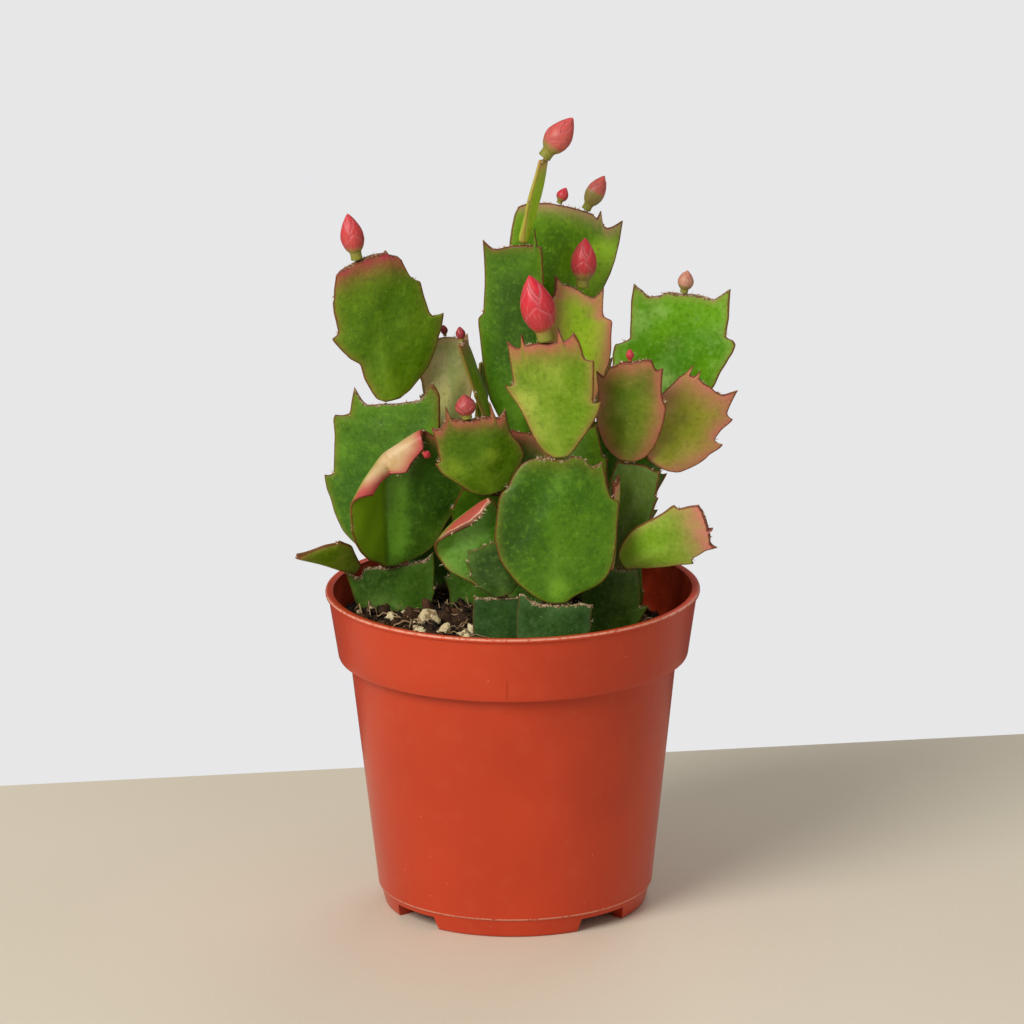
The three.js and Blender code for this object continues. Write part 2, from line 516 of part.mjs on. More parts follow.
// Moves a point (across, along, out towards the front) of a flat segment as one part of it bends over.
function bent(point, { from, toward, over, by }) {
  const heading = radians(toward);
  const [dx, dy] = [Math.cos(heading), Math.sin(heading)];
  const distance = (point.x - from[0]) * dx + (point.y - from[1]) * dy;
  if (distance <= 0) return point;
  const full = radians(by);
  const radius = over / full;
  const onArc = Math.min(distance, over);
  const angle = full * onArc / over;
  const beyond = distance - onArc;
  const along = radius * Math.sin(angle) + beyond * Math.cos(angle) - point.z * Math.sin(angle);
  const lift = radius * (1 - Math.cos(angle)) + beyond * Math.sin(angle) + point.z * Math.cos(angle);
  return new THREE.Vector3(point.x + dx * (along - distance), point.y + dy * (along - distance), lift);
}

// One stem segment: its outline, its thickness, and where its points are in the plant
class Segment {
  constructor(spec, parent) {
    this.spec = spec;
    this.outline = typeof spec.outline === 'string' ? OUTLINES[spec.outline] : spec.outline;
    const grow = new THREE.Vector3(...spec.grow);
    this.length = grow.length();
    this.axis = grow.normalize();
    const heading = radians(spec.face);
    const front = new THREE.Vector3(Math.cos(heading), Math.sin(heading), 0);
    this.front = front.addScaledVector(this.axis, -front.dot(this.axis)).normalize();
    this.right = new THREE.Vector3().crossVectors(this.axis, this.front);
    const cup = spec.cup ?? 0;
    const bow = spec.bow ?? 0;
    this.bends = [
      ...(spec.folds ?? []),
      ...(cup ? [0, 180].map((toward) => ({ from: [0, 0], toward, over: spec.wide / 2, by: cup / 2 })) : []),
      ...(bow ? [{ from: [0, 0], toward: 90, over: this.length, by: bow }] : []),
    ];
    const corners = [
      this.right.clone().multiplyScalar(SEGMENT.neckHalfWidth),
      this.front.clone().multiplyScalar(SEGMENT.neckThickness / 2),
    ];
    const base = parent
      ? parent.footOn(spec.at, spec.out ?? 0, corners)
      : new THREE.Vector3(spec.root[0], spec.root[1], SOIL.level - ROOTED);
    this.pose = new THREE.Matrix4().makeBasis(this.right, this.axis, this.front).setPosition(base);
  }

  // How high the tip's edge is above the foot.
  tipHeight(u) {
    const { tipEdge, dome } = this.outline;
    return tipEdge ? onCurve(tipEdge, u) : this.length - dome * u * u;
  }

  // How far a side's edge is from the midline, without its teeth; side is -1 for the left, 1 for the right.
  halfWidth(v, side = 1) {
    const { belly, foot, top, leftEdge, rightEdge } = this.outline;
    if (leftEdge) return onCurve(side < 0 ? leftEdge : rightEdge, v * this.tipHeight(side));
    const widest = this.spec.wide / 2;
    const neck = SEGMENT.neckHalfWidth;
    if (v < belly) return neck + (widest - neck) * Math.sin(Math.PI / 2 * v / belly) ** foot;
    return widest * (1 - (1 - top) * ((v - belly) / (1 - belly)) ** 2);
  }

  // How far a side's edge stands out, and up, at its teeth.
  tooth(side, v) {
    const teeth = side < 0 ? this.outline.left : this.outline.right;
    let [out, up] = [0, 0];
    for (const [place, size] of teeth) {
      const rising = clamp((v - place + SEGMENT.toothRise) / SEGMENT.toothRise, 0, 1);
      const falling = clamp((v - place) / SEGMENT.toothFall, 0, 1);
      const share = v <= place ? rising ** 1.5 : 1 - falling;
      out += size * share;
      up += 0.7 * size * share ** 2;
    }
    return [out, up];
  }

  // How far the tip's edge stands up, and out, at its horns and thorns.
  crown(u) {
    const { horns, crown } = this.outline;
    const horn = u < 0 ? horns[0] : horns[1];
    const share = clamp((Math.abs(u) - 1 + SEGMENT.hornWidth) / SEGMENT.hornWidth, 0, 1) ** 1.8;
    let up = horn * share;
    for (const [place, size] of crown) {
      up += size * clamp(1 - Math.abs(u - place) / SEGMENT.spikeHalfWidth, 0, 1);
    }
    return [0.25 * horn * share * Math.sign(u), up];
  }

  // A point of the flat segment: u across from -1 to 1, v along from 0 to 1.
  flat(u, v) {
    let x = u * this.halfWidth(v, Math.sign(u));
    let y = v * this.tipHeight(u);
    if (Math.abs(u) === 1 && v < 1) {
      const [out, up] = this.tooth(u, v);
      x += u * out;
      y += up;
    }
    if (v === 1) {
      const [out, up] = this.crown(u);
      x += out;
      y += up;
    }
    return [x, y];
  }

  thickness(u, v) {
    const { edgeThickness, midThickness, neckThickness } = SEGMENT;
    const middle = THREE.MathUtils.lerp(midThickness, 1.9, v);
    const body = edgeThickness + (middle - edgeThickness) * (1 - u * u) ** 0.7;
    const nearNeck = clamp(1 - v / 0.1, 0, 1);
    return THREE.MathUtils.lerp(body, neckThickness, nearNeck);
  }

  // The bent place of a flat point that stands out by z from the segment's middle surface, in its own axes.
  bentPlace(x, y, z) {
    return this.bends.reduce(bent, new THREE.Vector3(x, y, z));
  }

  // The same in the plant.
  place(x, y, z) {
    return this.bentPlace(x, y, z).applyMatrix4(this.pose);
  }

  // Where a child's foot goes: on the tip's edge, high enough for its lowest corner to clear it.
  footOn(u, out, corners) {
    const halfTip = this.halfWidth(1, Math.sign(u));
    const reach = corners.reduce((sum, corner) => sum + Math.abs(corner.dot(this.right)), 0) / halfTip;
    const x = u * halfTip;
    const y = Math.max(...[u - reach, u, u + reach].map((place) => this.tipHeight(place)));
    const edge = this.place(x, y, out);
    const up = this.place(x, y + 1, out).sub(edge).normalize();
    const dip = corners.reduce((sum, corner) => sum + Math.abs(corner.dot(up)), 0);
    return edge.addScaledVector(up, SEGMENT.joint + dip);
  }

  // The same for a bud: as low on the tip's edge as the middle and the rim of its round foot allow.
  budFootOn(u, rim) {
    const halfTip = this.halfWidth(1, Math.sign(u));
    const x = u * halfTip;
    const edge = this.place(x, this.tipHeight(u), 0);
    const up = this.place(x, this.tipHeight(u) + 1, 0).sub(edge).normalize();
    const heights = [0, 0.5, 1].flatMap((share) => rim.map((point) => (
      this.tipHeight(u + share * point.dot(this.right) / halfTip) - share * point.dot(up)
    )));
    return this.place(x, Math.max(...heights) + SEGMENT.joint, 0);
  }
}

// The outline as a loop of corners, anticlockwise from the foot's right to its left, with q growing
function outlineLoop(segment) {
  const { toothRise, toothFall, hornWidth, spikeHalfWidth } = SEGMENT;
  const { leftEdge, rightEdge, tipEdge, crown } = segment.outline;
  const sidePlaces = (side, edge, teeth) => {
    const corners = teeth.flatMap(([p]) => [p - toothRise, p - 0.4 * toothRise, p, p + toothFall]);
    const places = edge
      ? edge.map(([height]) => height / segment.tipHeight(side))
      : [0, 0.06, 0.16, 0.3, 0.5, 0.7];
    const clear = (v) => (edge
      ? corners.every((corner) => Math.abs(v - corner) > 0.012)
      : teeth.every(([p]) => v < p - toothRise || v > p + 1.5 * toothFall));
    const kept = [...new Set([...places.filter(clear), ...corners])];
    return kept.filter((v) => v >= 0 && v < 0.975).sort((a, b) => a - b);
  };
  const right = sidePlaces(1, rightEdge, segment.outline.right).map((v) => ({ u: 1, v, q: v }));
  const left = sidePlaces(-1, leftEdge, segment.outline.left)
    .map((v) => ({ u: -1, v, q: 3 - v }))
    .reverse();
  const thorns = crown.flatMap(([u]) => [u - spikeHalfWidth, u, u + spikeHalfWidth]);
  const horns = [1, 1 - hornWidth / 2, 1 - hornWidth, hornWidth - 1, hornWidth / 2 - 1, -1];
  const between = (tipEdge ?? [[0.35], [0], [-0.35]]).map(([u]) => u);
  const across = [...horns, ...between.filter((u) => horns.every((horn) => Math.abs(u - horn) > 0.04))]
    .filter((u) => Math.abs(u) > 0.99 || crown.every(([p]) => Math.abs(u - p) > 1.3 * spikeHalfWidth));
  const top = [...across, ...thorns].sort((a, b) => b - a).map((u) => ({ u, v: 1, q: 1 + (1 - u) / 2 }));
  return [...right, ...top, ...left];
}

// A coarse grid inside the outline, wide enough to carry the segment's bends.
function innerGrid(segment) {
  const columns = segment.spec.folds ? [0.88, 0.6, 0.3, 0, -0.3, -0.6, -0.88] : [0.66, 0, -0.66];
  const rows = segment.spec.folds ? 14 : 6;
  return Array.from({ length: rows }, (_, r) => {
    const v = 0.07 + (0.9 - 0.07) * r / (rows - 1);
    return columns.map((u) => ({ u, v }));
  });
}

// Triangles between two loops whose corners both carry a growing q.
function zipped(outer, inner) {
  const triangles = [];
  let [i, j] = [0, 0];
  while (i < outer.length - 1 || j < inner.length - 1) {
    const nextOuter = i < outer.length - 1 ? outer[i + 1].q + outer[i].q : Infinity;
    const nextInner = j < inner.length - 1 ? inner[j + 1].q + inner[j].q : Infinity;
    if (nextOuter <= nextInner) {
      triangles.push([outer[i], outer[i + 1], inner[j]]);
      i += 1;
    } else {
      triangles.push([outer[i], inner[j + 1], inner[j]]);
      j += 1;
    }
  }
  return triangles;
}

function segmentGeometry(segment) {
  const loop = outlineLoop(segment);
  const grid = innerGrid(segment);
  const [last, side] = [grid.length - 1, grid[0].length - 1];
  const rightSide = grid.map((row) => Object.assign(row[0], { q: row[0].v }));
  const leftSide = grid.map((row) => Object.assign(row[side], { q: 3 - row[side].v })).reverse();
  const topSide = grid[last].slice(1, side)
    .map((corner) => Object.assign(corner, { q: 1 + (1 - corner.u) / 2 }));
  const faces = zipped(loop, [...rightSide, ...topSide, ...leftSide]);
  faces.push([loop[0], grid[0][side / 2], loop[loop.length - 1]]);
  for (let c = 0; c < side; c += 1) {
    faces.push([c < side / 2 ? loop[0] : loop[loop.length - 1], grid[0][c], grid[0][c + 1]]);
  }
  for (let r = 0; r < last; r += 1) {
    for (let c = 0; c < side; c += 1) {
      const [a, b, d, e] = [grid[r][c], grid[r + 1][c], grid[r + 1][c + 1], grid[r][c + 1]];
      faces.push([a, b, e], [b, d, e]);
    }
  }
  const corners = [...loop, ...grid.flat()];
  corners.forEach((corner, index) => {
    corner.index = index;
    corner.flat = segment.flat(corner.u, corner.v);
    corner.half = segment.thickness(corner.u, corner.v) / 2;
  });
  const points = [
    ...corners.map((c) => segment.bentPlace(c.flat[0], c.flat[1], c.half)),
    ...corners.map((c) => segment.bentPlace(c.flat[0], c.flat[1], -c.half)),
  ];
  const n = corners.length;
  const triangles = [];
  for (const [a, b, c] of faces) {
    const turn = (b.u - a.u) * (c.v - a.v) - (b.v - a.v) * (c.u - a.u);
    const [p, q, r] = turn > 0 ? [a.index, b.index, c.index] : [a.index, c.index, b.index];
    triangles.push(p, q, r, n + p, n + r, n + q);
  }
  loop.forEach((corner, k) => {
    const [a, b] = [corner.index, loop[(k + 1) % loop.length].index];
    triangles.push(a, n + a, b, b, n + a, n + b);
  });
  return geometryOf(points, triangles);
}

// Where a bud stands, with its own Z along it
function budPose(spec, parent) {
  const axis = new THREE.Vector3(...spec.grow).normalize();
  const side = new THREE.Vector3(0, -1, 0).addScaledVector(axis, axis.y).normalize();
  const other = new THREE.Vector3().crossVectors(axis, side);
  const radius = BUD.neckHalfWidth * spec.wide;
  const rim = Array.from({ length: 12 }, (_, k) => radians(30 * k)).map((turn) => (
    side.clone().multiplyScalar(radius * Math.cos(turn)).addScaledVector(other, radius * Math.sin(turn))
  ));
  return new THREE.Matrix4().makeBasis(side, other, axis).setPosition(parent.budFootOn(spec.at, rim));
}

// A flower bud: a short neck and a pointed body wrapped in tepals, whose edges stand out in layers
function budGeometry(spec) {
  const length = Math.hypot(...spec.grow);
  const sides = spec.wide > 3 ? BUD.sides : 6;
  const levels = spec.wide > 3 ? [0, 0.14, 0.24, 0.34, 0.46, 0.6, 0.74, 0.87] : [0, 0.2, 0.4, 0.65, 0.85];
  const radiusAt = (t, turn) => {
    const swell = clamp((t - BUD.neckShare) / (1 - BUD.neckShare), 0, 1);
    const body = 0.5 * Math.sin(Math.PI * (0.13 + 0.87 * swell) ** 0.8) ** 0.8;
    const layer = Math.cos(BUD.tepals * turn) * BUD.step * Math.sin(Math.PI * swell);
    return spec.wide * (t < BUD.neckShare ? BUD.neckHalfWidth : Math.max(0.05, body + layer));
  };
  const points = [new THREE.Vector3()];
  for (const t of levels) {
    for (let k = 0; k < sides; k += 1) {
      const turn = 2 * Math.PI * k / sides;
      const radius = radiusAt(t, turn);
      points.push(new THREE.Vector3(radius * Math.cos(turn), radius * Math.sin(turn), t * length));
    }
  }
  points.push(new THREE.Vector3(0, 0, length));
  const triangles = [];
  const ring = (level, k) => 1 + level * sides + (k % sides);
  for (let k = 0; k < sides; k += 1) {
    triangles.push(0, ring(0, k + 1), ring(0, k));
    triangles.push(points.length - 1, ring(levels.length - 1, k), ring(levels.length - 1, k + 1));
    for (let level = 0; level < levels.length - 1; level += 1) {
      const [a, b, c, d] = [ring(level, k), ring(level, k + 1), ring(level + 1, k + 1), ring(level + 1, k)];
      triangles.push(a, b, c, a, c, d);
    }
  }
  return geometryOf(points, triangles);
}

// The potting mix: a plug that fills the pot, rough on top and lower on the right, with a plain hole for each
// rooted segment
function soilHeight(x, y) {
  const { level, fall, roughness } = SOIL;
  const waves = Math.sin(0.31 * x + 1.7) * Math.cos(0.27 * y - 0.6) + 0.6 * Math.sin(0.83 * x - 0.52 * y);
  const crumbs = Math.sin(1.9 * x + 0.4 * y) * Math.sin(2.3 * y - 0.9 * x);
  const lower = fall.by * THREE.MathUtils.smoothstep(x, fall.from, fall.from + fall.over);
  return level - lower + roughness * (1 - 0.7 * lower / fall.by) * (0.6 * waves + 0.7 * crumbs);
}

function soilGeometry(rooted) {
  const { gap, rings, sectors, level } = SOIL;
  const step = POT.bandBottom + POT.wall;
  const wall = [
    [innerRadius(step + 0.6) - gap, step + gap],
    [innerRadius(POT.bandBottom) - gap, step + gap],
    [innerRadius(POT.floorTop + 2) - gap, POT.floorTop + 2],
    [innerRadius(POT.floorTop) - 2, POT.floorTop + gap],
  ];
  const points = [new THREE.Vector3(0, 0, soilHeight(0, 0))];
  const addRing = (radius, height) => {
    for (let k = 0; k < sectors; k += 1) {
      const turn = 2 * Math.PI * k / sectors;
      const [x, y] = [radius * Math.cos(turn), radius * Math.sin(turn)];
      if (height !== undefined) {
        points.push(new THREE.Vector3(x, y, height));
        continue;
      }
      const top = soilHeight(x, y);
      const inwards = (innerRadius(top) - gap) / (innerRadius(level) - gap);
      points.push(new THREE.Vector3(x * inwards, y * inwards, top));
    }
  };
  for (let r = 1; r <= rings; r += 1) addRing((innerRadius(level) - gap) * (r / rings) ** 0.9);
  wall.forEach(([radius, height]) => addRing(radius, height));
  points.push(new THREE.Vector3(0, 0, POT.floorTop + gap));
  const count = rings + wall.length;
  const triangles = [];
  const ring = (r, k) => 1 + (r - 1) * sectors + (k % sectors);
  for (let k = 0; k < sectors; k += 1) {
    triangles.push(0, ring(1, k), ring(1, k + 1));
    triangles.push(points.length - 1, ring(count, k + 1), ring(count, k));
    for (let r = 1; r < count; r += 1) {
      triangles.push(ring(r, k), ring(r + 1, k), ring(r + 1, k + 1));
      triangles.push(ring(r, k), ring(r + 1, k + 1), ring(r, k + 1));
    }
  }
  let plug = solidFrom(geometryOf(points, triangles));
  for (const segment of rooted) plug = plug.subtract(solidFrom(holeGeometry(segment)));
  return geometryFrom(plug);
}

// A plain hole round the buried part of a rooted segment.
function holeGeometry(segment) {
  const room = 0.45;
  const depth = 2 * ROOTED;
  const [left, right] = [-1, 1].map((side) => segment.halfWidth(0.6, side) + room + 0.75);
  const thickness = SEGMENT.midThickness + 2 * room;
  const hole = new THREE.BoxGeometry(left + right, depth, thickness)
    .translate((right - left) / 2, depth / 2 - room, 0);
  return hole.applyMatrix4(segment.pose);
}

// Assembly
const plant = new THREE.Group();
const segments = new Map();
for (const spec of SEGMENTS) {
  const segment = new Segment(spec, segments.get(spec.on));
  segments.set(spec.name, segment);
  plant.add(meshOf('segment_' + spec.name, segmentGeometry(segment), COLOURS.segment, segment.pose));
}
for (const spec of BUDS) {
  plant.add(meshOf(spec.name, budGeometry(spec), COLOURS.bud, budPose(spec, segments.get(spec.on))));
}

const part = new THREE.Group();
part.add(meshOf('pot', potGeometry(), COLOURS.pot));
const rooted = [...segments.values()].filter((segment) => segment.spec.root);
part.add(meshOf('potting_mix', soilGeometry(rooted), COLOURS.soil));
part.add(plant);

export default part;
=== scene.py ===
import math

import bmesh
import bpy
import numpy as np
from mathutils import Matrix, Vector, noise


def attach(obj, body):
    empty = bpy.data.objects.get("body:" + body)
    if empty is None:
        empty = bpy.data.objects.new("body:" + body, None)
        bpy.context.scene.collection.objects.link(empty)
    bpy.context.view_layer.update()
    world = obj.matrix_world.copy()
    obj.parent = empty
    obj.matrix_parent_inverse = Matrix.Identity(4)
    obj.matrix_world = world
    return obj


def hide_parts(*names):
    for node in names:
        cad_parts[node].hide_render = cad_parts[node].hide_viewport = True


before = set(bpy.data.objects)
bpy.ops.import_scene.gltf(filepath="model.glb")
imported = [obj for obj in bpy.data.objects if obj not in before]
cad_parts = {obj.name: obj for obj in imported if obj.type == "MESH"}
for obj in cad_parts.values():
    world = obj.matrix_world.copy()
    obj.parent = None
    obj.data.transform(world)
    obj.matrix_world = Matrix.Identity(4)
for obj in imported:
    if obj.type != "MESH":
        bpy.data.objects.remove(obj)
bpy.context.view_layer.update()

MM = 0.001

# Camera: where it stands, in metres, and how it looks at the pot
CAMERA = {"distance": 1.886, "height": 0.6294, "pitch": 15.32, "roll": -0.52, "focal_pixels": 7000}
# The image's width in pixels, and the sensor's in mm
IMAGE = 1024
SENSOR = 36

# Driving dimensions, in mm
POT = {
    "height": 91, "rim_radius": 52.5, "band_bottom_radius": 49.1, "band_bottom": 72,
    "body_top_radius": 45.9, "body_bottom_radius": 38.7, "foot_top": 5.7, "foot_top_radius": 38.2,
    "foot_bottom_radius": 37, "foot_width": 4.6, "underside": 3.6, "floor_top": 5.2,
    "wall": 1.3, "lip": 2.2, "lip_height": 1.2,
}
# The angles turn a notch away from the front; reach is how far from the axis its cut starts and ends.
NOTCH = {"width": 15.4, "height": 3.9, "flare": 1, "angles": [-49, 41, 131, 221], "reach": (29, 45)}
DRAIN = {"width": 9, "depth": 5, "radius": 31, "top": 12}
# How many sides the pot's round sections have
POT_SECTORS = 192
# Edges of the pot that turn by more degrees than this stay sharp.
SHARP_FROM = 38
# The mix falls by 6.4 mm towards the right, over 30 mm from 4 mm right of the middle.
SOIL = {
    "level": 82, "gap": 0.35, "roughness": 0.9, "grain": 0.85, "rings": 120, "sectors": 300,
    "fall": {"from": 4, "over": 30, "by": 6.4},
}
# How deep the rooted segments stand below the level of the mix
ROOTED = 13
SEGMENT = {
    "neck_half_width": 1.7, "neck_thickness": 2.4, "edge_thickness": 0.6, "mid_thickness": 2.7,
    "tip_thickness": 1.9, "joint": 0.35, "tooth_rise": 0.13, "tooth_fall": 0.035, "horn_width": 0.3,
    "spike_half_width": 0.07,
}
# In mm: how far the skin swells, ripples, and rises at the midrib in front and behind, how wide the midrib
# is, and how far the rounded rim stands out
RELIEF = {"swell": 0.28, "ripple": 0.16, "rib": 0.55, "rib_behind": 0.35, "rib_width": 1.9, "rim": 0.16}

# Outlines of segments
# belly is where along the length the segment is widest, and foot how fast it widens (lower is rounder).
# top is the width at the tip as a share of the widest; dome is how far the tip's edge rises in its middle.
# Instead, left_edge and right_edge are a side's own curve, as (height above the foot, distance from the
# midline), and tip_edge is the tip's, as (place across from -1 to 1, height above the foot).
# left and right are teeth as (place along the length, size), and horns the sizes of the two corner teeth.
# crown is thorns on the tip's edge as (place across from -1 to 1, size). Lengths and sizes are in mm.
PLAIN = dict(
    belly=0.66, foot=0.9, top=0.8, dome=2, left=[(0.45, 1.6), (0.75, 1.8)], right=[(0.35, 1.5), (0.66, 2)],
    horns=(2.2, 2.4), crown=[],
)
BLUNT = dict(
    PLAIN, belly=0.6, foot=0.55, top=0.86, dome=1.5, left=[(0.6, 1)], right=[(0.75, 1.2)], horns=(1, 1.4),
)
STUB = dict(
    PLAIN, belly=0.75, foot=0.45, top=0.9, dome=1, left=[(0.72, 1.6)], right=[(0.6, 1.2)], horns=(1.6, 1),
)
NARROW = dict(
    PLAIN, belly=0.6, foot=0.8, top=0.8, dome=1, left=[(0.5, 1)], right=[(0.62, 1)], horns=(1.8, 1.4),
)


def measured(left_edge, right_edge, tip_edge, horns, left=(), right=(), crown=()):
    """An outline that follows its edges' own curves. Both sides start at the neck."""
    neck = (0, SEGMENT["neck_half_width"])
    return dict(
        left_edge=[neck, *left_edge], right_edge=[neck, *right_edge], tip_edge=tip_edge, horns=horns,
        left=left, right=right, crown=crown,
    )


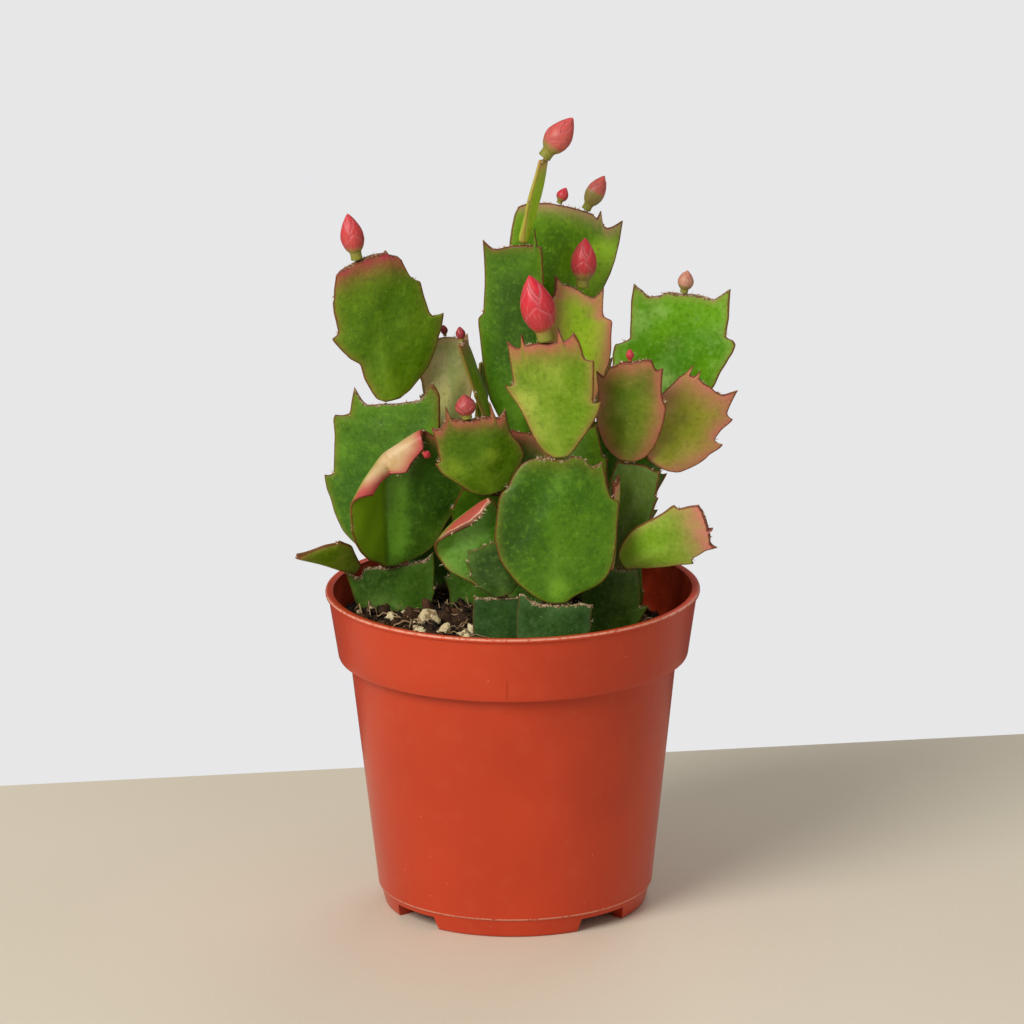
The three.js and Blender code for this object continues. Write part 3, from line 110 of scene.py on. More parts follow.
# The plant. Each segment stands in the mix at root, or on another segment's tip, at a place across it
# from -1 to 1.
# grow is the vector from its base to its tip, in mm, and wide is its width.
# face is the heading of its front, -90 being towards the camera.
# out moves its foot that many mm towards the front or, below 0, the back of the tip it stands on.
# bow and cup bend it forward along and across its length, in degrees; folds bend one part of it over.
# look is its colouring; tip and rim are how strongly its tip and its sides blush, and how far, in mm.
# edge is how brown its margin is, and cork how dry its tip's edge is; the patches are painted light or,
# below 0, painted shade, and a few are the skin's own lighter or darker blotches, as (across, along, size,
# tone).
# A fold is (place where it starts, its direction in degrees, how long the bend is, by how many degrees).
SEGMENTS = [
    dict(
        name="left_1", root=(-29.5, 9), grow=(-4, -1, 27), wide=25, face=-90, look="old", cork=1,
        painted_light_and_blotches=[(-6, 16, 5, 0.6), (1, 12, 3, 0.8), (8, 15, 4, -0.5)],
        outline=measured(
            left_edge=[(3, 6), (8, 9), (13, 10.2), (16.5, 11.8), (18, 12.4), (21.5, 12.7), (24.4, 12.9)],
            right_edge=[(3, 5), (8, 7.5), (13.5, 8.5), (17.5, 9.8), (23.5, 11), (27.3, 11.3)],
            tip_edge=[(-1, 24.4), (-0.82, 24.2), (-0.72, 24.8), (-0.67, 26.8), (-0.2, 26.8), (-0.05, 26.3),
                (0.4, 26.3), (0.8, 26.8), (1, 27.3)],
            right=[(0.62, 0.5)], horns=(2.4, 1.4),
        ),
    ),
    dict(
        name="left_2", on="left_1", at=-0.2, out=-1.3, grow=(4.5, 5, 45), wide=33.5, face=-108, cup=-14,
        look="dark", rim=(0.3, 1.2), cork=0.6,
        painted_light_and_blotches=[(12, 38, 5, 0.5), (-14, 30, 5, 0.4), (-5, 12, 6, -0.5), (3, 34, 3, 0.4), (-6, 36, 5, -0.4)],
        outline=measured(
            left_edge=[(2, 6), (5, 10.5), (7, 13), (9.5, 14.7), (12, 16.2), (15, 17.4), (18, 18.6),
                (21, 18.8), (23, 17.4), (32, 18), (37.5, 17.6), (39.3, 13.8), (42, 13.3), (44.5, 12.5)],
            right_edge=[(3, 6), (8, 10.5), (16, 13), (26, 14), (35, 13.3), (39, 12.7), (43, 12), (46.5, 11),
                (48.3, 8)],
            tip_edge=[(-1, 44.5), (-0.85, 43.6), (-0.7, 43.4), (-0.3, 44.4), (0, 45), (0.25, 45.6),
                (0.65, 46.4), (0.8, 46.8), (1, 48.3)],
            left=[(0.47, 1.5), (0.85, 1.6)], right=[(0.6, 1)], horns=(3.4, 4),
        ),
    ),
    dict(
        name="left_3", on="left_2", at=-0.15, grow=(-7.5, -2, 42), wide=30, face=-74, cup=-12, bow=8,
        look="mid", tip=(0.95, 4), rim=(0.25, 1.2), cork=0.4,
        painted_light_and_blotches=[(0, 5, 4, 0.2), (-9, 22, 5, 0.3), (11, 20, 7, 0.4), (0, 30, 6, -0.3)],
        outline=measured(
            left_edge=[(1, 4), (3.5, 5.1), (8, 6.5), (12.5, 6.8), (14.5, 9.3), (17.5, 11.1), (21, 12.6),
                (23, 11.2), (29, 11.4), (35.5, 10.3), (39.6, 9)],
            right_edge=[(1, 5), (3.8, 8.9), (6.2, 11.8), (8.7, 13.8), (12.2, 16), (15.7, 17.3), (19, 17.2),
                (21.5, 15.4), (26.5, 14.7), (31, 14), (33.8, 11.5), (38.8, 9.9)],
            tip_edge=[(-1, 39.6), (-0.85, 40.8), (-0.3, 42.3), (0.2, 43), (0.55, 42.6), (0.7, 41.7),
                (0.9, 40.6), (1, 38.8)],
            left=[(0.53, 0.8), (0.8, 0.3)], right=[(0.48, 2.3), (0.8, 0.4)], horns=(0.1, 0.3),
            crown=[(0.6, 0.9)],
        ),
    ),
    dict(
        name="left_folded", on="left_1", at=-0.11, out=1.8, grow=(1.5, -6, 42.5), wide=35, face=-88,
        look="folded", tip=(0.6, 3), rim=(0.2, 0.8),
        painted_light_and_blotches=[(2, height, 4, 0.7) for height in (5, 10, 15, 20, 25, 30)] + [(12, 18, 6, -0.5)],
        outline=measured(
            left_edge=[(2.5, 5), (4, 8.6), (7.5, 12.5), (11, 15), (15, 16.5), (21, 17.4), (25, 17),
                (30, 15.4)],
            right_edge=[(1.5, 5.5), (3, 9.5), (5.5, 12.7), (9, 14.6), (13, 16.5), (16, 18.7), (19, 20),
                (22, 20.8), (25, 20.4), (31, 18), (37, 14)],
            tip_edge=[(-1, 30), (-0.8, 32), (-0.65, 34.2), (-0.45, 38.6), (-0.27, 43.4), (-0.06, 43.4),
                (0.28, 44.6), (0.5, 42.5), (0.8, 39.5), (1, 37)],
            left=[(0.5, 0.5)], right=[(0.6, 0.5)], horns=(0.4, 0.4),
        ),
        folds=[((1, 34), 123, 5, 160), ((1, 0), 184, 2.5, 54), ((1, 0), 0, 18, -14)],
    ),
    dict(
        name="left_low", on="left_1", at=-0.8, out=1.8, grow=(-16.6, -11, 6.6), wide=11, face=-121,
        look="olive", tip=(0.5, 2), rim=(0.3, 0.8), painted_light_and_blotches=[(3, 7, 4, 0.5)],
        outline=measured(
            left_edge=[(1, 2), (5, 1.8), (9, 1.2), (12.5, 0.8), (17, 0.6), (20.5, 0.4)],
            right_edge=[(2, 3.5), (4, 5.2), (6.5, 7.6), (8, 8), (11, 8), (13, 6.9), (15, 5.8), (17, 3.7),
                (19, 1.7), (20.5, 0.6)],
            tip_edge=[(-1, 20.5), (1, 20.5)],
            right=[(0.53, 0.6)], horns=(0.3, 0.8),
        ),
    ),

    dict(name="front_1", root=(-4.5, -23.5), grow=(0, -1, 26), wide=13, face=-90, look="shaded", cork=1,
         outline=dict(STUB, dome=0.4, left=[(0.55, 1.2)], right=[], horns=(1, 0.6))),
    dict(
        name="front_2", root=(11, -30), grow=(0.5, 1, 25), wide=20, face=-90, look="shaded", cork=1,
        outline=measured(
            left_edge=[(4, 6), (9, 9), (15, 10.2), (22, 10.3), (27.6, 9.6)],
            right_edge=[(4, 6), (9, 8.4), (15, 9.6), (19, 9.8), (24, 10.3)],
            tip_edge=[(-1, 27.6), (-0.88, 28), (-0.76, 26.6), (-0.6, 25.4), (-0.3, 25.1), (0.5, 25),
                (0.72, 25.6), (1, 24)],
            right=[(0.8, 0.5)], horns=(0.3, 1.2),
        ),
    ),
    dict(
        name="front_3", on="front_2", at=0.1, grow=(-0.5, 4, 40), wide=34, face=-88, cup=-14, bow=-6,
        look="dark", tip=(0.25, 2.5), rim=(0.3, 1), cork=0.5,
        painted_light_and_blotches=[(-13, 18, 7, -1), (-11, 29, 6, -0.7), (0, 4, 3.5, 0.9), (5, 10, 6, 0.2), (1, 33, 6, 0.3)],
        outline=measured(
            left_edge=[(1, 4.9), (3.3, 8.2), (5.6, 11), (8.2, 13), (11, 15), (13.2, 16), (18.5, 17.1),
                (26, 16.2), (29, 15.6), (31, 14.4), (32.5, 13), (35, 11.8), (37, 10.5), (38.5, 9)],
            right_edge=[(1.2, 3.5), (2.2, 5), (3.2, 7.6), (4.2, 10.4), (5.8, 12.7), (8.2, 14.4),
                (11.5, 15.6), (16, 16.3), (22.5, 16.9), (27, 17), (28.8, 15.2), (31, 14.3), (34, 13.5),
                (37, 12.5)],
            tip_edge=[(-1, 38.5), (-0.78, 39.8), (-0.4, 40.4), (0, 39.7), (0.28, 39.6), (0.34, 40.6),
                (0.5, 40.5), (0.63, 39.6), (0.74, 38.2), (0.8, 37.2), (1, 37)],
            left=[(0.8, 0.3)], right=[(0.74, 0.6)], horns=(0.2, 2),
        ),
    ),
    dict(
        name="front_4", on="front_3", at=0.13, grow=(-5.8, -2, 32.5), wide=24.6, face=-102, cup=-10, bow=-8,
        look="lime", tip=(0.9, 3.4), rim=(0.45, 1.4),
        painted_light_and_blotches=[(-7, 17, 4, 1), (-4, 9, 4, 0.6), (1, 24, 5, 0.4)],
        outline=measured(
            left_edge=[(1.8, 4.1), (4.3, 5.7), (7.5, 6.8), (11.5, 7.8), (15, 8.9), (18, 10.1), (20.8, 10.7),
                (22.3, 9.5), (28, 9.2), (31.3, 8.6)],
            right_edge=[(0.9, 3.4), (3.8, 6.2), (6.4, 8.7), (8.8, 10.8), (11, 12), (13.2, 12.4),
                (14.5, 11.6), (18, 12.4), (21, 13), (25.4, 13.1), (26.6, 11.1), (28.8, 10.8), (30.9, 9.8),
                (31.8, 8.7)],
            tip_edge=[(-1, 31.3), (-0.8, 31.6), (-0.6, 32.4), (0, 32.7), (0.3, 32.2), (0.6, 32.5),
                (0.88, 32), (1, 31.8)],
            left=[(0.665, 1.5)], right=[(0.41, 1.7), (0.795, 0.8)], horns=(2.8, 2.6),
            crown=[(-0.58, 3.2), (0.6, 3.9)],
        ),
    ),
    dict(
        name="front_curled", on="front_1", at=-0.1, out=-2.2, grow=(-11, -1.5, 27), wide=21, face=-80,
        cup=-18, look="fresh", tip=(0.4, 2), rim=(0.3, 1), painted_light_and_blotches=[(-6, 10, 5, 0.3), (0, 17, 5, 0.2)],
        outline=measured(
            left_edge=[(3, 3.5), (5.6, 5.2), (8.3, 7.5), (10.6, 9), (13.5, 9.9), (16.3, 10.4), (20, 10.3),
                (24, 9)],
            right_edge=[(3, 4), (7, 7.5), (12, 9.5), (18, 10.5), (24, 10), (29, 7)],
            tip_edge=[(-1, 24), (-0.6, 27.5), (-0.2, 29.5), (0.3, 30), (1, 29)],
            left=[(0.5, 0.3)], right=[(0.35, 0.6)], horns=(0.4, 0.6),
        ),
        folds=[((1, 21.4), 86, 8, 76), ((0, 20), 122, 8, 80)],
    ),
    dict(name="front_low", on="front_1", at=0.4, out=0.7, grow=(-4.5, 0.4, 14.5), wide=14, face=-84,
         look="old", painted_light_and_blotches=[(0, 7, 9, -0.9)],
         outline=dict(NARROW, foot=0.7, left=[(0.3, 0.6), (0.55, 0.8), (0.82, 0.8)], right=[],
                      horns=(1, 0.8))),

    dict(name="middle_1", root=(-11.5, 15), grow=(1, -3, 29), wide=14, face=-90, outline=STUB, look="old",
         cork=1),
    dict(name="middle_2", on="middle_1", at=0.2, grow=(4.5, -19, 21), wide=20, face=-90, outline=BLUNT,
         look="dark"),
    dict(
        name="middle_3", on="middle_2", at=-0.1, out=1, grow=(-4.5, -5, 22), wide=23, face=-83, cup=-14,
        look="moss", tip=(1, 2.2), rim=(0.35, 1), cork=0.3,
        painted_light_and_blotches=[(-9, 10, 4, 0.8), (2, 12, 2.5, 0.9), (0, 4, 5, 0.5)],
        outline=measured(
            left_edge=[(0.5, 3.5), (2, 6), (4.7, 8.2), (7, 10.2), (8.3, 11.6), (10, 12.6), (12.6, 12.8),
                (13.6, 11.9), (18.5, 11.8), (22.5, 11.8)],
            right_edge=[(0.5, 4.5), (3.4, 7.1), (6, 9.4), (8.5, 11.1), (11.8, 10.8), (15.6, 9), (18.4, 8.4),
                (21.2, 8.2)],
            tip_edge=[(-1, 22.6), (-0.83, 22.5), (-0.78, 23.5), (-0.69, 25), (-0.56, 25.2), (-0.43, 24.7),
                (-0.12, 23.4), (0.26, 23.5), (0.65, 22.5), (0.77, 21.6), (1, 21.2)],
            left=[(0.54, 0.7)], horns=(1.2, 2.7), crown=[(-0.6, 4.2), (0.62, 4.6)],
        ),
    ),
    dict(name="middle_4", on="middle_2", at=0.6, out=-2.8, grow=(5, 5, 13), wide=14, face=-80,
         outline=BLUNT, look="moss", tip=(1, 3), rim=(0.8, 2)),
    dict(name="middle_5", on="middle_1", at=-0.4, out=-2, grow=(-2, 9, 28), wide=18, face=-90,
         outline=BLUNT, look="dark"),
    dict(name="middle_6", on="middle_5", at=-0.3, grow=(-1, 3, 29), wide=15, face=-70, outline=PLAIN,
         look="pale", tip=(0.5, 2), rim=(0.8, 2), edge=0.6,
         painted_light_and_blotches=[(5, 13, 5, -0.8), (-3, 23, 5, 0.7), (-4, 15, 4, 0.5)]),
    dict(name="middle_7", on="middle_5", at=0.8, out=1.4, grow=(1.5, -1, 22), wide=8, face=-20,
         outline=NARROW, look="lime", edge=0.7),

    dict(name="centre_1", root=(8, 13), grow=(-1, 1, 29), wide=18, face=-90, outline=STUB, look="old",
         cork=1),
    dict(name="centre_2", on="centre_1", at=-0.3, grow=(-3.5, -9, 34), wide=18, face=-90, outline=BLUNT,
         look="dark"),
    dict(
        name="centre_3", on="centre_2", at=0.25, grow=(-1, 3, 53.5), wide=17.6, face=-106, cup=-10, bow=6,
        look="dark", tip=(0.3, 1.5), rim=(0.2, 0.8),
        painted_light_and_blotches=[(0, 40, 8, -0.9), (0, 26, 8, -0.8), (-9, 30, 3, 0.3)],
        outline=measured(
            left_edge=[(4, 6), (10, 9), (18, 10.5), (26, 11.1), (31, 11.2), (33.3, 10.9), (34.5, 9.8),
                (37, 9.6), (46, 8.6), (52.4, 8)],
            right_edge=[(4, 5), (10, 7), (20, 8.2), (39, 7.9), (52, 8), (53.6, 7.8)],
            tip_edge=[(-1, 52.4), (-0.83, 52.9), (-0.5, 53.2), (-0.3, 53.7), (0, 54.2), (0.5, 54.5),
                (0.86, 54), (1, 53.6)],
            left=[(0.62, 0.4)], horns=(3.2, 0.3), crown=[(0.8, 5)],
        ),
    ),
    dict(name="centre_4", on="centre_3", at=0.36, grow=(5.8, 1, 22.8), wide=13, face=-12, outline=NARROW,
         look="sunny", tip=(0.6, 3), rim=(0.35, 0.6), edge=0.35),
    dict(name="centre_5", on="centre_2", at=-0.7, grow=(-9, 2, 27), wide=13, face=-8, outline=NARROW,
         look="lime", tip=(0.6, 3), rim=(0.3, 0.6), edge=0.5, painted_light_and_blotches=[(0, 14, 9, 0.4)]),
    dict(name="centre_7", on="centre_1", at=0.5, out=-1.6, grow=(3, 6, 53), wide=20, face=-90,
         outline=BLUNT, look="dark"),
    dict(
        name="centre_8", on="centre_7", at=-0.2, grow=(5.5, 2, 42), wide=32, face=-76, cup=12, bow=-8,
        look="bright", tip=(0.8, 2.4), rim=(0.25, 0.8),
        painted_light_and_blotches=[(-3, 33, 5, -1), (-5, 26, 5, -0.8), (11, 30, 5, 1), (7, 22, 5, 0.6)],
        outline=measured(
            left_edge=[(6, 7), (14, 12), (22, 15.5), (31, 16.8), (35, 16.6), (39, 16.1), (41, 15.2)],
            right_edge=[(5, 4.5), (12, 8), (20, 11.6), (24.3, 13.2), (28.5, 14.2), (33, 14.8),
                (37.5, 14.8)],
            tip_edge=[(-1, 41), (-0.93, 41.7), (-0.78, 42.4), (-0.43, 42.8), (0, 42.1), (0.2, 41.5),
                (0.43, 40.7), (0.52, 39.6), (0.61, 38.3), (0.75, 36.9), (0.85, 37), (1, 37.5)],
            horns=(0, 2), crown=[(0.6, 3.2)],
        ),
    ),

    dict(name="right_1", root=(27, -11), grow=(0.5, 1, 30), wide=16, face=-90, look="old", cork=0.6,
         outline=dict(STUB, top=0.8, dome=0.6, left=[], right=[(0.6, 2.4)], horns=(0.6, 0.8)),
         painted_light_and_blotches=[(3, 22, 5, 0.4)]),
    dict(name="right_2", on="right_1", at=-0.8, out=-2, grow=(-5.4, 17.6, 34.2), wide=15, face=-90,
         outline=BLUNT, look="mid"),
    dict(
        name="right_3", on="right_2", at=0.1, grow=(1, 6, 37.5), wide=17.6, face=-74, cup=-8, look="sunny",
        tip=(0.9, 2.8), rim=(0.9, 3.6), cork=0.3, painted_light_and_blotches=[(-3, 30, 4, 0.4)],
        outline=measured(
            left_edge=[(5, 5.5), (12, 7.5), (22, 8.6), (30, 8.4), (34, 7.8), (35.5, 6), (38.8, 5.4)],
            right_edge=[(4, 4.5), (9, 7), (14, 8.7), (17.5, 10.1), (21, 10.6), (29, 10.4), (30.2, 7.9),
                (32, 7.7), (36.2, 7.5)],
            tip_edge=[(-1, 38.8), (-0.9, 39.5), (-0.55, 39.3), (0, 38.2), (0.23, 37), (0.55, 35.9),
                (0.67, 35.6), (0.82, 36.1), (1, 36.2)],
            left=[(0.87, 0.3)], right=[(0.8, 0.4)], horns=(3.2, 2.2),
        ),
    ),
    dict(name="right_4", on="right_1", at=-0.1, out=3.4, grow=(2, -3, 26), wide=8, face=-12, outline=NARROW,
         look="tender", tip=(0.9, 6), rim=(1, 2)),
    dict(
        name="right_5", on="right_1", at=0.5, out=2.5, grow=(21.5, -9, 11), wide=16, face=-70,
        look="tender", tip=(1, 6), rim=(0.35, 1.2),
        outline=measured(
            left_edge=[(1, 4.2), (4, 6.4), (7.5, 8.3), (10, 9), (13, 9.2), (16.5, 9.6), (20, 10.1),
                (22.8, 10.4), (24, 9.4), (27, 8.9), (29, 8)],
            right_edge=[(2.5, 2.8), (6.3, 4.5), (10.4, 5.8), (14.7, 6.9), (17.8, 7.2), (19.2, 6.4),
                (21.4, 6.1), (23, 5.4), (25.4, 5.6)],
            tip_edge=[(-1, 29), (-0.74, 29.8), (-0.34, 29), (0, 28.1), (0.37, 27.4), (1, 25.4)],
            left=[(0.79, 0.8)], right=[(0.7, 0.9)], horns=(0.9, 1.9), crown=[(0.05, 1.3)],
        ),
    ),
    dict(
        name="right_6", on="right_1", at=0.2, out=-0.6, grow=(7.5, 1, 28.5), wide=15.5, face=-98, cup=8,
        look="greyed",
        outline=measured(
            left_edge=[(2, 4.2), (5, 5.8), (9, 7), (14, 7.7), (18, 7.7), (24, 7.4), (28, 6.7)],
            right_edge=[(2, 3.6), (5, 4.8), (9, 5.6), (14, 6), (18, 6), (24, 5.6), (28, 5)],
            tip_edge=[(-1, 28), (-0.65, 28.8), (-0.3, 29.4), (0, 29.5), (0.3, 29.4), (0.65, 28.9), (1, 28)],
            left=[(0.6, 1)], right=[(0.75, 0.8)], horns=(1, 1.2),
        ),
    ),
    dict(
        name="right_7", on="right_6", at=-0.65, out=1.6, grow=(1.3, -5, 27), wide=19.6, face=-104, cup=-18,
        look="olive", tip=(0.8, 4), rim=(0.85, 3.2),
        painted_light_and_blotches=[(0, 3, 4, -0.6), (0, 12, 3, -0.25), (-3, 16, 4, 0.3)],
        outline=measured(
            left_edge=[(0.6, 3.4), (1.8, 5.2), (3.6, 6.8), (6, 8), (9, 9.2), (12.5, 9.7), (16, 9.3),
                (19, 9.2), (23.2, 9.7)],
            right_edge=[(0.6, 3.6), (2, 5.5), (4.3, 7), (7.5, 8.3), (10.7, 9.1), (13.8, 9.7), (17, 9.8),
                (18.6, 9.2), (21.3, 8.5), (26.6, 8)],
            tip_edge=[(-1, 23.2), (-0.8, 23.4), (-0.7, 25.7), (-0.62, 27.4), (-0.46, 27.8), (-0.35, 29.1),
                (0, 29.7), (0.45, 30.8), (0.65, 31.2), (0.72, 30), (0.8, 27.8), (1, 26.6)],
            right=[(0.66, 0.3)], horns=(2, 2.3),
        ),
    ),
    dict(
        name="right_8", on="right_6", at=0.45, out=-1.2, grow=(16, 6, 21), wide=22.6, face=-84, cup=-12,
        look="rosy", tip=(0.8, 5), rim=(0.8, 4),
        painted_light_and_blotches=[(0, 8, 2.5, -0.6), (0, 15, 2.5, -0.6), (6, 9, 4, 0.5), (-4, 14, 3, 0.4)],
        outline=measured(
            left_edge=[(4, 6), (9, 9), (14, 9.6), (17, 8.9), (19, 8.5), (23, 7.6)],
            right_edge=[(0.5, 5), (2.1, 8), (4.6, 9.7), (7.4, 11.3), (10, 12.2), (14.2, 12.4), (15.2, 10.8),
                (18.4, 10.9), (21.8, 10.7), (23, 9.2), (27, 7.2)],
            tip_edge=[(-1, 23.1), (-0.88, 25.4), (-0.65, 25.9), (-0.46, 26.5), (-0.16, 26.1), (0.14, 26.4),
                (0.45, 26.2), (0.7, 26.6), (0.88, 27.2), (1, 27)],
            right=[(0.53, 1.8), (0.81, 1.4)], horns=(0.5, 3.2), crown=[(-0.84, 3), (-0.5, 2)],
        ),
    ),
    dict(name="right_9", root=(34, 3), grow=(-0.5, 1, 30), wide=10, face=-30, outline=STUB, look="old",
         cork=0.6),
    dict(name="right_10", on="right_9", at=0, grow=(5, 9.5, 33), wide=10, face=-80, outline=PLAIN,
         look="dark"),
    dict(
        name="right_11", on="right_10", at=0.28, grow=(7, 2, 36), wide=29.6, face=-102, cup=12, bow=6,
        look="vivid", tip=(0.35, 1.2), rim=(0.3, 0.8), cork=0.6,
        painted_light_and_blotches=[(-9, 29, 4, 0.5), (-4, 34, 3, 0.4), (2, 25, 3, -0.6), (1, 13, 5, 0.6), (12, 31, 4, 0.2)],
        outline=measured(
            left_edge=[(3, 6), (8, 11), (14, 14), (18, 14.6), (20.5, 14.2), (22.2, 12.2), (23.4, 10.6),
                (25, 11), (33, 12), (36.3, 11.6)],
            right_edge=[(3, 6), (8, 11), (15.4, 15), (19.7, 16), (22.6, 17.2), (26, 18.2), (28.3, 18.2),
                (29.3, 15.7), (35, 15.5), (40.8, 13.8)],
            tip_edge=[(-1, 36.2), (-0.82, 37.2), (-0.73, 36.7), (-0.63, 36.4), (-0.4, 37.3), (-0.22, 38.8),
                (0.05, 39), (0.34, 39.7), (0.53, 39.8), (0.78, 39.5), (0.88, 40.3), (1, 40.8)],
            left=[(0.57, 0.5)], right=[(0.705, 0.9)], horns=(3, 3),
        ),
    ),

    dict(name="back_1", on="centre_1", at=0.7, out=-4.6, grow=(14, 14, 30), wide=24, face=62, cup=14,
         outline=PLAIN, look="dark", rim=(0.3, 2)),
    dict(name="back_2", on="back_1", at=0.55, grow=(-8, 5, 29), wide=20, face=108, cup=10, bow=-8,
         outline=PLAIN, look="lime", tip=(0.9, 7), rim=(0.5, 3)),
    dict(name="back_3", on="centre_1", at=-0.7, out=-2.6, grow=(-4, 16, 29), wide=17, face=118, cup=12,
         outline=PLAIN, look="moss", tip=(0.8, 6), rim=(0.5, 2)),
    dict(name="back_4", root=(-19, 29), grow=(-2, 2, 28), wide=19, face=75, outline=STUB, look="old",
         cork=1),
    dict(name="back_5", on="back_4", at=-0.2, grow=(-4, 6, 28), wide=24, face=112, cup=14, bow=8,
         outline=PLAIN, look="mid", tip=(0.7, 5), rim=(0.3, 2)),
    dict(name="back_6", root=(21, 29), grow=(1, 2, 26), wide=18, face=110, outline=STUB, look="old",
         cork=1),
    dict(name="back_7", on="back_6", at=0.2, grow=(5, 8, 30), wide=25, face=74, cup=12, bow=6,
         outline=BLUNT, look="bright", tip=(0.6, 4), rim=(0.3, 2)),
]

# Flower buds, each on a segment's tip, at a place across it. grow is the bud from its foot to its point.
# green is the share of its length that is still green; pale and dark are how light or deep its tepals are.
BUDS = [
    dict(name="bud_left", on="left_3", at=-0.28, grow=(-2.5, 0, 13), wide=6.3, green=0.22, pale=0.1),
    dict(name="bud_left_folded", on="left_folded", at=0.2, grow=(2.2, -1, -1), wide=2.2, green=0, pale=0),
    dict(name="bud_front", on="front_4", at=0.18, grow=(-4.5, -1, 18.5), wide=9.2, green=0.14, pale=0),
    dict(name="bud_middle", on="middle_3", at=-0.17, grow=(-0.8, -0.5, 6.8), wide=5.6, green=0.16, pale=0.2,
         dark=0.5),
    dict(name="bud_middle_back", on="middle_6", at=0, grow=(-0.5, 0, 3.2), wide=2, green=0.1, pale=0.1,
         dark=0.8),
    dict(name="bud_top", on="centre_4", at=0, grow=(8, 0, 11), wide=7.2, green=0.26, pale=0.25),
    dict(name="bud_slim", on="centre_5", at=0, grow=(-0.6, 0, 4.2), wide=2.7, green=0.15, pale=0, dark=0.8),
    dict(name="bud_back_small", on="centre_8", at=-0.22, grow=(2, 0, 4.4), wide=3.2, green=0.3, pale=0),
    dict(name="bud_back", on="centre_8", at=0.31, grow=(5.3, 0, 9.6), wide=5.2, green=0.5, pale=0.35),
    dict(name="bud_right_front", on="right_3", at=0.24, grow=(0.8, 0, 14.2), wide=7.1, green=0.26,
         pale=0.05),
    dict(name="bud_right_small", on="right_7", at=-0.07, grow=(0, 0, 3.4), wide=2.2, green=0, pale=0),
    dict(name="bud_right", on="right_11", at=0.13, grow=(1, 0, 6.4), wide=4.3, green=0.3, pale=0.9),
]
# A bud's foot, as a share of its width; the width in mm from which it has all rings of tepals; its grid
BUD = {"neck_half_width": 0.28, "full_from": 3, "sectors": 28, "rows": 30}
# Half width of a bud along its length, as shares of its length and its width
BUD_PROFILE = [
    (0, 0.26), (0.1, 0.25), (0.18, 0.27), (0.26, 0.37), (0.38, 0.46), (0.5, 0.485), (0.62, 0.45),
    (0.74, 0.36), (0.85, 0.24), (0.93, 0.13), (0.98, 0.05), (1, 0),
]
# Rings of tepals: how many, where along the bud they start and end, how wide they are in degrees,
# and how far they stand out as a share of its width
TEPALS = [(3, 0.16, 0.58, 70, 0.055), (4, 0.2, 0.88, 66, 0.04), (3, 0.3, 0.985, 76, 0.02)]

# Colourings of the skin, in linear RGB. Green and deep are its two tones, pale its waxy patches and its
# midrib, and also its painted light.
LOOK_PARTS = ("green", "deep", "pale", "blush")
LOOKS = {
    "old": ((0.066, 0.162, 0.012), (0.036, 0.096, 0.009), (0.18, 0.33, 0.06), (0.20, 0.06, 0.02)),
    "shaded": ((0.046, 0.118, 0.020), (0.023, 0.064, 0.014), (0.12, 0.24, 0.08), (0.15, 0.05, 0.02)),
    "dark": ((0.072, 0.185, 0.005), (0.040, 0.125, 0.003), (0.17, 0.37, 0.02), (0.30, 0.09, 0.03)),
    "mid": ((0.112, 0.225, 0.003), (0.075, 0.175, 0.002), (0.24, 0.40, 0.02), (0.44, 0.050, 0.075)),
    "folded": ((0.068, 0.160, 0.010), (0.037, 0.104, 0.007), (0.17, 0.40, 0.03), (0.50, 0.075, 0.075)),
    "fresh": ((0.135, 0.340, 0.030), (0.080, 0.240, 0.010), (0.30, 0.55, 0.13), (0.42, 0.07, 0.04)),
    "bright": ((0.150, 0.350, 0.004), (0.090, 0.240, 0.003), (0.36, 0.64, 0.03), (0.50, 0.26, 0.17)),
    "vivid": ((0.140, 0.370, 0.005), (0.080, 0.260, 0.004), (0.36, 0.60, 0.14), (0.42, 0.14, 0.06)),
    "lime": ((0.145, 0.275, 0.004), (0.110, 0.225, 0.003), (0.36, 0.46, 0.06), (0.46, 0.115, 0.085)),
    # sunny is a light yellow-green: centre_4's own colour, and on right_3 painted light where the buds shade
    # it
    "sunny": ((0.370, 0.640, 0.008), (0.290, 0.560, 0.006), (0.60, 0.74, 0.07), (0.80, 0.24, 0.18)),
    "tender": ((0.270, 0.480, 0.030), (0.200, 0.410, 0.015), (0.46, 0.60, 0.12), (0.66, 0.24, 0.18)),
    "moss": ((0.080, 0.172, 0.002), (0.050, 0.130, 0.002), (0.22, 0.35, 0.02), (0.48, 0.125, 0.085)),
    "olive": ((0.140, 0.240, 0.003), (0.095, 0.185, 0.002), (0.32, 0.38, 0.05), (0.47, 0.14, 0.095)),
    "rosy": ((0.280, 0.330, 0.012), (0.205, 0.270, 0.008), (0.46, 0.43, 0.08), (0.62, 0.19, 0.15)),
    # pale is middle_6's own pale beige made lighter still, painted light where other segments shade it
    "pale": ((0.66, 0.62, 0.22), (0.44, 0.50, 0.17), (0.86, 0.72, 0.40), (0.90, 0.52, 0.32)),
    "greyed": ((0.100, 0.175, 0.020), (0.070, 0.135, 0.010), (0.22, 0.32, 0.10), (0.3, 0.1, 0.05)),
}
# Colours of the skin's marks; lit_wing is painted light, a wing lit through from behind
SKIN = {
    "margin": (0.15, 0.035, 0.012), "speck": (0.42, 0.54, 0.24), "scar": (0.16, 0.09, 0.035),
    "cork_low": (0.13, 0.065, 0.028), "cork_high": (0.46, 0.36, 0.22), "lit_wing": (0.25, 0.46, 0.008),
    "curl": (0.42, 0.075, 0.050), "curl_line": (0.72, 0.42, 0.28),
    "fold_low": (0.56, 0.35, 0.15), "fold_high": (0.68, 0.49, 0.27),
}
